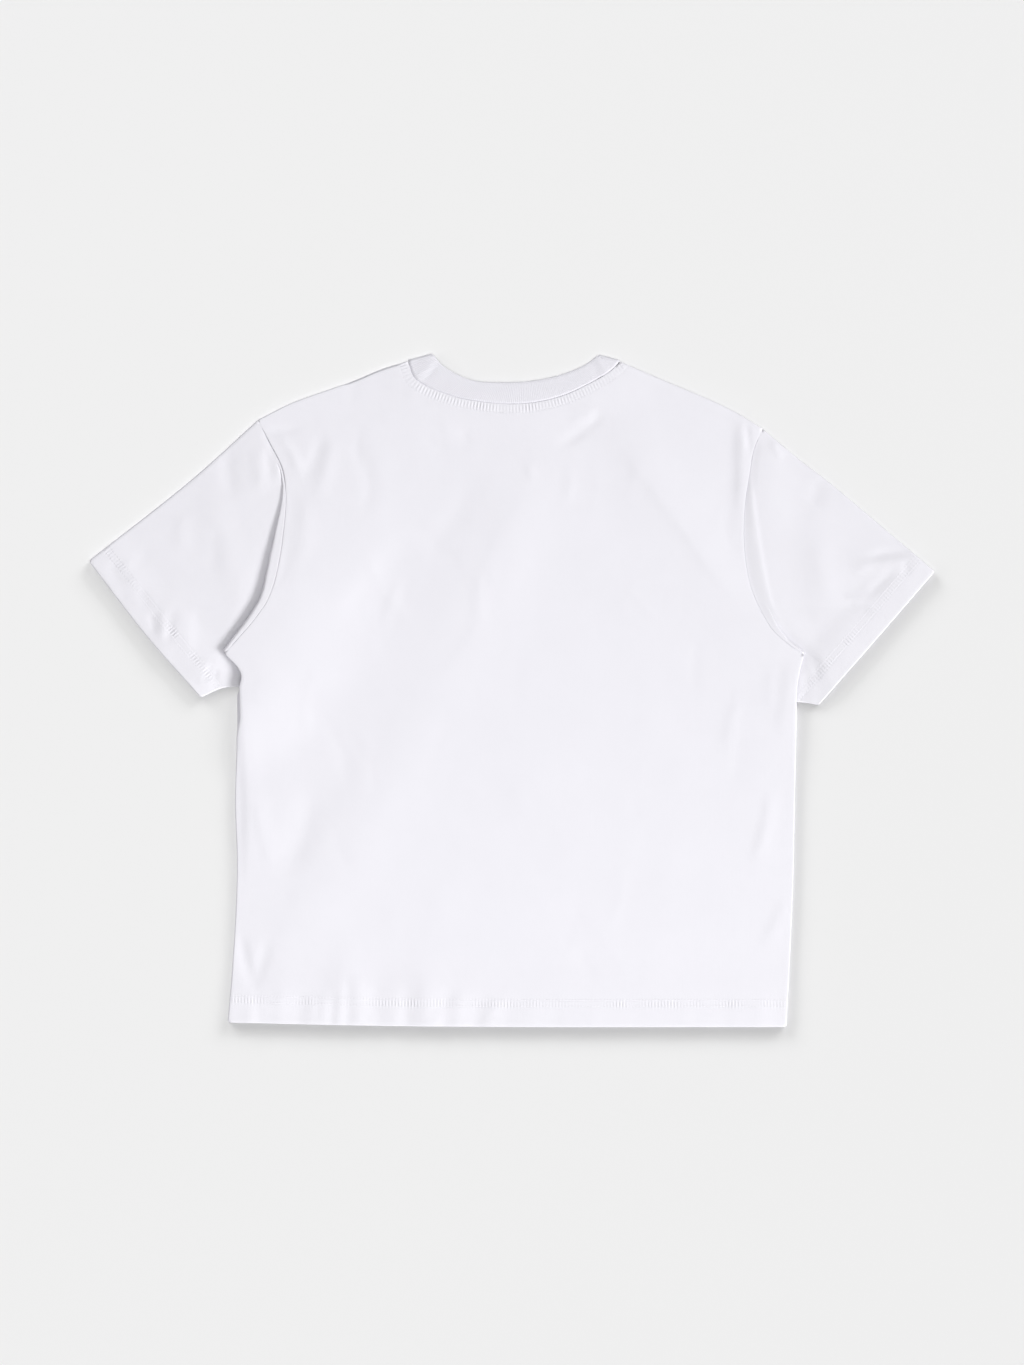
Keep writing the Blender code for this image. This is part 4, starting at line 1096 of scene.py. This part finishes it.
def cloth_piece(name, grids, thickness, material, grain=UPWARDS, maps=None):
    """One piece of cloth: grids welded into a sheet and thickened, with a map of the cloth for its knit.

    maps adds more maps, each a function from places in the cloth to places in the map.
    """
    quads, count = [], 0
    for grid in grids:
        index = count + np.arange(grid[..., 0].size).reshape(grid.shape[:2])
        corners = (index[:-1, :-1], index[:-1, 1:], index[1:, 1:], index[1:, :-1])
        quads.append(np.stack(corners, axis=-1).reshape(-1, 4))
        count += index.size
    points, quads = np.vstack([grid.reshape(-1, 5) for grid in grids]), np.vstack(quads)
    data = bpy.data.meshes.new(name)
    data.from_pydata(points[:, :3].tolist(), [], quads.tolist())
    places = points[:, 3:]
    layers = {"cloth": np.column_stack([places @ (grain[1], -grain[0]), places @ grain])}
    layers.update({map_name: place(places) for map_name, place in (maps or {}).items()})
    for map_name, uv in layers.items():
        layer = data.uv_layers.new(name=map_name)
        layer.uv.foreach_set("vector", uv[quads.ravel()].astype(np.float32).ravel())
    mesh = bmesh.new()
    mesh.from_mesh(data)
    bmesh.ops.remove_doubles(mesh, verts=mesh.verts, dist=WELD)
    bmesh.ops.recalc_face_normals(mesh, faces=mesh.faces)
    mesh.to_mesh(data)
    mesh.free()
    data.shade_smooth()
    obj = placed(name, data, material)
    wall = obj.modifiers.new("cloth wall", "SOLIDIFY")
    wall.thickness = thickness
    wall.offset = 0.0
    return obj


def stitch_form(length, thread):
    """One stitch, as points (along, across, up) and faces: a bent thread whose ends go into the cloth."""
    share = np.linspace(-1, 1, STITCH_STATIONS)[:, None]
    angle = 2 * math.pi * np.arange(STITCH_SIDES) / STITCH_SIDES
    radius = thread / 2 * np.sqrt(np.maximum(1 - share**4, STITCH_TIP))
    lift = thread * (0.5 - STITCH_SINK) - thread * STITCH_DIVE * share**4
    parts = (share * length / 2, radius * np.cos(angle), lift + radius * np.sin(angle))
    points = np.stack(np.broadcast_arrays(*parts), axis=-1).reshape(-1, 3)
    index = np.arange(len(points)).reshape(STITCH_STATIONS, STITCH_SIDES)
    after = np.roll(index, -1, axis=1)
    faces = np.stack((index[:-1], index[1:], after[1:], after[:-1]), axis=-1).reshape(-1, 4)
    return points, [*faces, index[0], index[-1, ::-1]]


def stitch_piece(name, lines, lay, material):
    """Rows of stitches on the upper face of the cloth, along lines in its middle, joined into one piece."""
    pitch = lay.sizes.stitch
    form, form_faces = stitch_form(pitch * STITCH_SHARE, lay.sizes.thread)
    points, faces = [], []
    for line in lines:
        line = line[:, :3] + (0.0, 0.0, lay.cloth / 2)
        run = run_along(line)
        count = int(run[-1] / pitch)
        starts = (np.arange(count) + 0.5) * run[-1] / count
        along = unit(resample(line, starts + pitch / 4, run) - resample(line, starts - pitch / 4, run))
        across = unit(np.cross((0.0, 0.0, 1.0), along))
        rise = np.cross(along, across)
        for centre, *axes in zip(resample(line, starts, run), along, across, rise):
            faces += [(len(points) * len(form) + face).tolist() for face in form_faces]
            points.append(centre + form @ np.array(axes))
    data = bpy.data.meshes.new(name)
    data.from_pydata(np.vstack(points).tolist(), [], faces)
    data.shade_smooth()
    return placed(name, data, material)


def hem_stitches(name, grid, depth, lay, material):
    """The two rows of a hem's cover stitch, on the face of a grid whose first row is the edge."""
    rows = along_columns(grid, [depth + needle for needle in lay.needles])
    return stitch_piece(name, rows, lay, material)


# Materials. Their maps and their relief are in millimetres.

WALE = 0.90  # from one column of knit stitches to the next
COURSE = 0.66  # from one row of them to the next
KNIT_DEPTH = 0.045
SLUB_DEPTH = 0.025
CRUMPLE_DEPTH = 0.09
RIB_CRUMPLE_DEPTH = 0.054
TICK_DEPTH = 0.11
NECK_TICK_DEPTH = 0.55
NEEDLE_DEPTH = 0.10
NEEDLE_WIDTH = 0.75

# Soft unevenness: how wide and how long each spot is, and its detail.
SLUB = (1.9, 17.0, 2.0)
CRUMPLE = (15.0, 22.0, 3.0)
RIB_CRUMPLE = (9.0, 12.0, 2.0)
MOTTLE = (48.0, 60.0, 3.0)
FIBRE = (0.7, 1.1, 1.0)
HEM_PULL = (21.0, 40.0, 1.0)
NECK_PULL = (26.0, 60.0, 1.0)


def arithmetic(operation, turned=False):
    """A method of a value that adds a Math node, with its operands turned round if asked."""

    def work(value, *others):
        operands = dict(enumerate((value, *others)[:: -1 if turned else 1]))
        made = value.finish.node("ShaderNodeMath", {"operation": operation}, operands)
        return Value(value.finish, made.outputs[0])

    return work


class Value:
    """A socket that takes part in Python's arithmetic, as Math nodes."""

    def __init__(self, finish, socket):
        self.finish = finish
        self.socket = socket

    __add__ = __radd__ = arithmetic("ADD")
    __sub__ = arithmetic("SUBTRACT")
    __rsub__ = arithmetic("SUBTRACT", turned=True)
    __mul__ = __rmul__ = arithmetic("MULTIPLY")
    __truediv__ = arithmetic("DIVIDE")
    __pow__ = arithmetic("POWER")
    __abs__ = arithmetic("ABSOLUTE")
    fraction = arithmetic("FRACT")
    cosine = arithmetic("COSINE")
    exponent = arithmetic("EXPONENT")
    at_least = arithmetic("MAXIMUM")

    def waves(self, pitch):
        """Waves between -1 and 1, with a crest at every pitch."""
        return (self * (2 * math.pi / pitch)).cosine()

    def bell(self, middle, half_width):
        """1 where this is at the middle, falling off on both sides like a bell."""
        return (((self - middle) / half_width) ** 2.0 * -1.0).exponent()


class Finish:
    """A material and the nodes that make it."""

    def __init__(self, name):
        self.material = bpy.data.materials.new(name)
        self.material.use_nodes = True
        self.tree = self.material.node_tree
        self.shader = self.tree.nodes["Principled BSDF"]

    def node(self, kind, settings=None, inputs=None):
        """A node with its settings, and then the values or links of its sockets."""
        made = self.tree.nodes.new(kind)
        for key, value in (settings or {}).items():
            setattr(made, key, value)
        for key, value in (inputs or {}).items():
            self.feed(made.inputs[key], value)
        return made

    def feed(self, socket, value):
        """Links a socket to another, or sets its value."""
        value = getattr(value, "socket", value)
        if isinstance(value, bpy.types.NodeSocket):
            self.tree.links.new(value, socket)
        else:
            socket.default_value = value

    def surface(self, **values):
        """Feeds or sets the shader's own sockets."""
        for key, value in values.items():
            self.feed(self.shader.inputs[key.replace("_", " ")], value)

    def map_of(self, name):
        """The two coordinates of a map."""
        found = self.node("ShaderNodeUVMap", {"uv_map": name}).outputs["UV"]
        parts = self.node("ShaderNodeSeparateXYZ", inputs={"Vector": found}).outputs
        return Value(self, parts["X"]) * MM, Value(self, parts["Y"]) * MM

    def noise(self, place, spot):
        """Soft noise between 0 and 1 over the two coordinates of a map."""
        (across, along), (width, length, detail) = place, spot
        vector = self.node("ShaderNodeCombineXYZ", inputs={"X": across / width, "Y": along / length})
        inputs = {"Vector": vector.outputs[0], "Scale": 1.0, "Detail": detail}
        made = self.node("ShaderNodeTexNoise", {"noise_dimensions": "2D"}, inputs)
        return Value(self, made.outputs["Fac"])

    def solid_noise(self, vector, scale, detail=2.0):
        """Soft noise between 0 and 1 in space."""
        inputs = {"Vector": vector, "Scale": scale, "Detail": detail}
        return Value(self, self.node("ShaderNodeTexNoise", {}, inputs).outputs["Fac"])

    def knit(self, place, wale):
        """The face of a plain knit: columns of small Vs."""
        across, along = place
        leg = abs((across / wale).fraction() - 0.5) * 2.0
        round_leg = 1.0 - (leg * 2.0 - 1.0) ** 2.0
        loop = (along / COURSE + leg * 0.8).waves(1.0) * 0.3 + 0.7
        return round_leg * loop * KNIT_DEPTH

    def tint(self, colour, dark, amount):
        """The colour, and where amount nears 1 the same colour made darker."""
        settings = {"data_type": "RGBA", "clamp_factor": True}
        deeper = [channel * dark for channel in colour]
        inputs = {"Factor": amount, 6: (*colour, 1.0), 7: (*deeper, 1.0)}  # the Mix node's two colours
        return self.node("ShaderNodeMix", settings, inputs).outputs[2]

    def relief(self, height):
        """Makes a height the shader's relief."""
        bump = self.node("ShaderNodeBump", inputs={"Height": height, "Distance": 1 / MM, "Strength": 1.0})
        self.surface(Normal=bump.outputs["Normal"])

    def cotton(self, place, height, colour, shade):
        """Washed cotton cloth with a little nap, darker where shade nears 1: on the rib that is painted
        shade in its furrows, on the jersey a random mottle.
        """
        fibre = self.noise(place, FIBRE)
        self.relief(height)
        self.surface(Base_Color=self.tint(colour, 0.95, shade + fibre * 0.3), Roughness=0.84 + fibre * 0.12)
        self.surface(Sheen_Weight=0.16, Sheen_Roughness=0.45, Specular_IOR_Level=0.28)
        return self.material


def hem_relief(finish, depth, lay):
    """The small puckers between a cover stitch's two rows, and the groove that each row lies in."""
    place = along, away = finish.map_of("hem")
    needles = [(depth + needle) * MM for needle in lay.needles]
    between = away.bell(sum(needles) / 2, (needles[1] - needles[0]) / 2 * 1.15)
    strong = (finish.noise(place, HEM_PULL) - 0.36).at_least(0.0) * 4.0
    height = between * along.waves(lay.sizes.stitch * MM) * strong * TICK_DEPTH
    for needle in needles:
        height = height - away.bell(needle, NEEDLE_WIDTH) * NEEDLE_DEPTH
    return height


def neck_relief(finish, lay):
    """The puckers between the neck seam and the row of stitches below it, and that row's groove."""
    place = along, away = finish.map_of("neck")
    needle = NECK_NEEDLE * MM
    under = away.bell(needle * 0.5, needle * 0.42)
    height = under * along.waves(lay.sizes.stitch * MM) * finish.noise(place, NECK_PULL) ** 2.0
    return height * NECK_TICK_DEPTH - away.bell(needle, NEEDLE_WIDTH) * NEEDLE_DEPTH


def jersey(name, colour, hem_depth, lay, neck=False):
    """White cotton jersey, washed soft: fine knit, and faint slubs and crumples."""
    finish = Finish(name)
    place = finish.map_of("cloth")
    height = finish.knit(place, WALE) + finish.noise(place, SLUB) * SLUB_DEPTH
    height = height + finish.noise(place, CRUMPLE) * CRUMPLE_DEPTH + hem_relief(finish, hem_depth, lay)
    if neck:
        height = height + neck_relief(finish, lay)
    return finish.cotton(place, height, colour, finish.noise(place, MOTTLE) * 0.5)


def rib_knit(name, colour, pitch):
    """The neck band's rib: knit columns on each ridge, and shade painted darker into its colour between
    them.
    """
    finish = Finish(name)
    place = finish.map_of("cloth")
    height = finish.knit(place, pitch / 2) + finish.noise(place, RIB_CRUMPLE) * RIB_CRUMPLE_DEPTH
    # Painted shade: the colour is made darker between the ribs, where their furrows lie.
    painted_furrow_shade = (place[0].waves(pitch) * -0.5 + 0.5) ** 2.0
    return finish.cotton(place, height, colour, painted_furrow_shade * 0.7)


def sewing_thread(colour):
    """Spun thread, a little smoother than the cloth, which all the stitches share."""
    name = "sewing thread"
    if name in bpy.data.materials:
        return bpy.data.materials[name]
    finish = Finish(name)
    place = finish.node("ShaderNodeNewGeometry").outputs["Position"]
    scaled = finish.node("ShaderNodeVectorMath", {"operation": "SCALE"}, {"Vector": place, "Scale": 2400.0})
    twist = finish.solid_noise(scaled.outputs[0], 1.0)
    finish.relief(twist * 0.05)
    finish.surface(Base_Color=finish.tint(colour, 0.90, twist), Roughness=0.55 + twist * 0.2)
    finish.surface(Sheen_Weight=0.1, Specular_IOR_Level=0.35)
    return finish.material


def pale_floor(name, colour):
    """A plain pale floor, matt, with the faintest unevenness."""
    finish = Finish(name)
    uneven = finish.solid_noise(finish.node("ShaderNodeTexCoord").outputs["Object"], 3.0)
    finish.surface(Base_Color=finish.tint(colour, 0.995, uneven), Roughness=0.95, Specular_IOR_Level=0.0)
    return finish.material


# The maps of the cloth that the stitched places are read from.


def hem_map(places):
    """Along the body's hem, and up from its edge."""
    return np.column_stack([places[:, 0], places[:, 1] - hem_edge(places[:, 0])])


def cuff_map(side):
    """A function to places along a sleeve's cuff and up from its edge."""
    along = unit(side.cuff[-1] - side.cuff[0])
    inward = normals_towards(side.cuff[[0, -1]], -side.out)[0]
    return lambda places: (places - side.cuff[0]) @ np.transpose((along, inward))


def neck_map(places):
    """Along the back neck seam, and down from it."""
    line = curve_through(NECK_SEAM, COARSE)
    away, along, left = distance_to_line(places, line)
    return np.column_stack([along * run_along(line)[-1], np.where(left, -away, away)])


def settings(context):
    """How the shirt lies, and its colours."""
    return Lay(context.scene.shirt_sizes), context.scene.shirt_colours


class MakeBack(bpy.types.Operator):
    """Makes the back of the body, which lies on top, with its hem's and its neck's stitches"""

    bl_idname = "tshirt.back"
    bl_label = "Back"

    def execute(self, context):
        lay, colours = settings(context)
        depth, thread = lay.sizes.body_hem, sewing_thread(colours.thread)
        neck = back_neck_line(BACK.neck, lay)
        grids = body_panel(BACK, neck, body_height, lay)
        finish = jersey("back jersey", colours.jersey, depth, lay, neck=True)
        maps = {"hem": hem_map, "neck": neck_map}
        back = cloth_piece("back_cloth", grids, lay.cloth, finish, maps=maps)
        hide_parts("back_panel")
        hem = hem_stitches("back_hem_stitches", grids[0], depth, lay, thread)
        row = (neck + NECK_NEEDLE * normals_towards(neck, DOWNWARDS))[NECK_ROW_ENDS:-NECK_ROW_ENDS]
        neck_row = stitch_piece("neck_stitches", [laid(row, body_height(row, lay))], lay, thread)
        for piece in (back, hem, neck_row):
            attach(piece, "root")
        return {"FINISHED"}


class MakeFront(bpy.types.Operator):
    """Makes the front of the body, which lies on the floor"""

    bl_idname = "tshirt.front"
    bl_label = "Front"

    def execute(self, context):
        lay, colours = settings(context)
        grids = body_panel(FRONT, front_neck_line(FRONT.neck, lay), floor_height, lay)
        finish = jersey("front jersey", colours.jersey, lay.sizes.body_hem, lay)
        front = cloth_piece("front_cloth", grids, lay.cloth, finish, maps={"hem": hem_map})
        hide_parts("front_panel")
        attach(front, "root")
        return {"FINISHED"}


class MakeSleeves(bpy.types.Operator):
    """Makes both sleeves, with the stitches of their cuffs"""

    bl_idname = "tshirt.sleeves"
    bl_label = "Sleeves"

    def execute(self, context):
        lay, colours = settings(context)
        depth, thread = lay.sizes.cuff_hem, sewing_thread(colours.thread)
        # The sleeves' finish takes the darker sleeve colour, which is painted shade.
        finish = jersey("sleeve jersey", colours.sleeve, depth, lay)
        for side, name in ((LEFT, "left"), (RIGHT, "right")):
            grids, maps = sleeve_grids(side, lay), {"hem": cuff_map(side)}
            sleeve = cloth_piece(name + "_sleeve_cloth", grids, lay.cloth, finish, sleeve_grain(side), maps)
            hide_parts("sleeve_" + name)
            stitches = hem_stitches(name + "_cuff_stitches", grids[0][::-1], depth, lay, thread)
            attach(sleeve, "root")
            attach(stitches, "root")
        return {"FINISHED"}


class MakeNeckBand(bpy.types.Operator):
    """Makes the ribbed neck band"""

    bl_idname = "tshirt.neck_band"
    bl_label = "Neck band"

    def execute(self, context):
        lay, colours = settings(context)
        # The band's colour, and its darker furrows, carry painted shade.
        finish = rib_knit("neck rib", colours.rib, lay.sizes.rib_pitch * MM)
        band = cloth_piece("neck_band_cloth", band_grids(lay), lay.band_wall, finish)
        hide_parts("neck_rib")
        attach(band, "root")
        return {"FINISHED"}


def soft_light(name, azimuth, elevation, distance, size, irradiance, receivers):
    """A softbox that faces the shirt. irradiance is about what it brings to a level surface there."""
    data = bpy.data.lights.new(name, "AREA")
    data.shape = "RECTANGLE"
    data.size, data.size_y = size
    turn, tilt = math.radians(azimuth), math.radians(elevation)
    data.energy = irradiance * math.pi * distance**2 / math.sin(tilt)
    way = Vector((math.cos(turn) * math.cos(tilt), math.sin(turn) * math.cos(tilt), math.sin(tilt)))
    lamp = bpy.data.objects.new(name, data)
    bpy.context.scene.collection.objects.link(lamp)
    lamp.location = distance * way
    lamp.rotation_euler = way.to_track_quat("Z", "Y").to_euler()
    lamp.light_linking.receiver_collection = collection(receivers)


class MakeStage(bpy.types.Operator):
    """Makes the floor, the lights and the camera straight above the shirt"""

    bl_idname = "tshirt.stage"
    bl_label = "Stage"

    def execute(self, context):
        scene = context.scene
        data = bpy.data.meshes.new("floor")
        half = FLOOR_SIZE / 2
        corners = [(x * half, y * half, -FLOOR_DROP) for x, y in ((-1, -1), (1, -1), (1, 1), (-1, 1))]
        data.from_pydata(corners, [], [(0, 1, 2, 3)])
        finish = pale_floor("pale floor", scene.shirt_colours.floor)
        placed("floor", data, finish, "surroundings")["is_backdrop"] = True

        light = scene.shirt_light
        for name, (azimuth, elevation, distance, size, strength, share, receivers) in LAMPS.items():
            irradiance = share * getattr(light, strength)
            soft_light(name, azimuth, elevation, distance, size, irradiance, receivers)
        scene.world = bpy.data.worlds.new("room")
        scene.world.use_nodes = True
        background = scene.world.node_tree.nodes["Background"]
        background.inputs["Color"].default_value = (1.0, 1.0, 1.0, 1.0)
        background.inputs["Strength"].default_value = light.room

        camera = bpy.data.objects.new("camera", bpy.data.cameras.new("camera"))
        scene.collection.objects.link(camera)
        camera.location = (*AIM, CAMERA_HEIGHT)
        camera.data.sensor_width = SENSOR
        camera.data.lens = SENSOR * CAMERA_HEIGHT / (max(PICTURE) * METRES_PER_PIXEL)
        scene.camera = camera
        scene.view_settings.view_transform = "Standard"
        return {"FINISHED"}


class ShirtPanel(bpy.types.Panel):
    """The steps that make the shirt"""

    bl_idname = "VIEW3D_PT_tshirt"
    bl_label = "T-shirt"
    bl_space_type = "VIEW_3D"
    bl_region_type = "UI"
    bl_category = "T-shirt"

    def draw(self, context):
        for name in GROUPS:
            box, group = self.layout.box(), getattr(context.scene, name)
            for key in group.bl_rna.properties.keys():
                if key not in ("rna_type", "name"):
                    box.prop(group, key)
        for step in STEPS:
            self.layout.operator(step.bl_idname)


STEPS = (MakeFront, MakeBack, MakeSleeves, MakeNeckBand, MakeStage)
CLASSES = (ShirtSizes, ShirtColours, StudioLight, *STEPS, ShirtPanel)
GROUPS = {"shirt_sizes": ShirtSizes, "shirt_colours": ShirtColours, "shirt_light": StudioLight}


def register():
    for cls in CLASSES:
        bpy.utils.register_class(cls)
    for name, group in GROUPS.items():
        setattr(bpy.types.Scene, name, PointerProperty(type=group))


def unregister():
    for name in GROUPS:
        delattr(bpy.types.Scene, name)
    for cls in reversed(CLASSES):
        bpy.utils.unregister_class(cls)


def main():
    """Makes the shirt step by step."""
    register()
    for step in STEPS:
        group, name = step.bl_idname.split(".")
        getattr(getattr(bpy.ops, group), name)()
    boxes = {"cad": CAD_BOX, "visual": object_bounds()}
    {name: [list(corner) for corner in box] for name, box in boxes.items()}


if __name__ == "__main__":
    main()
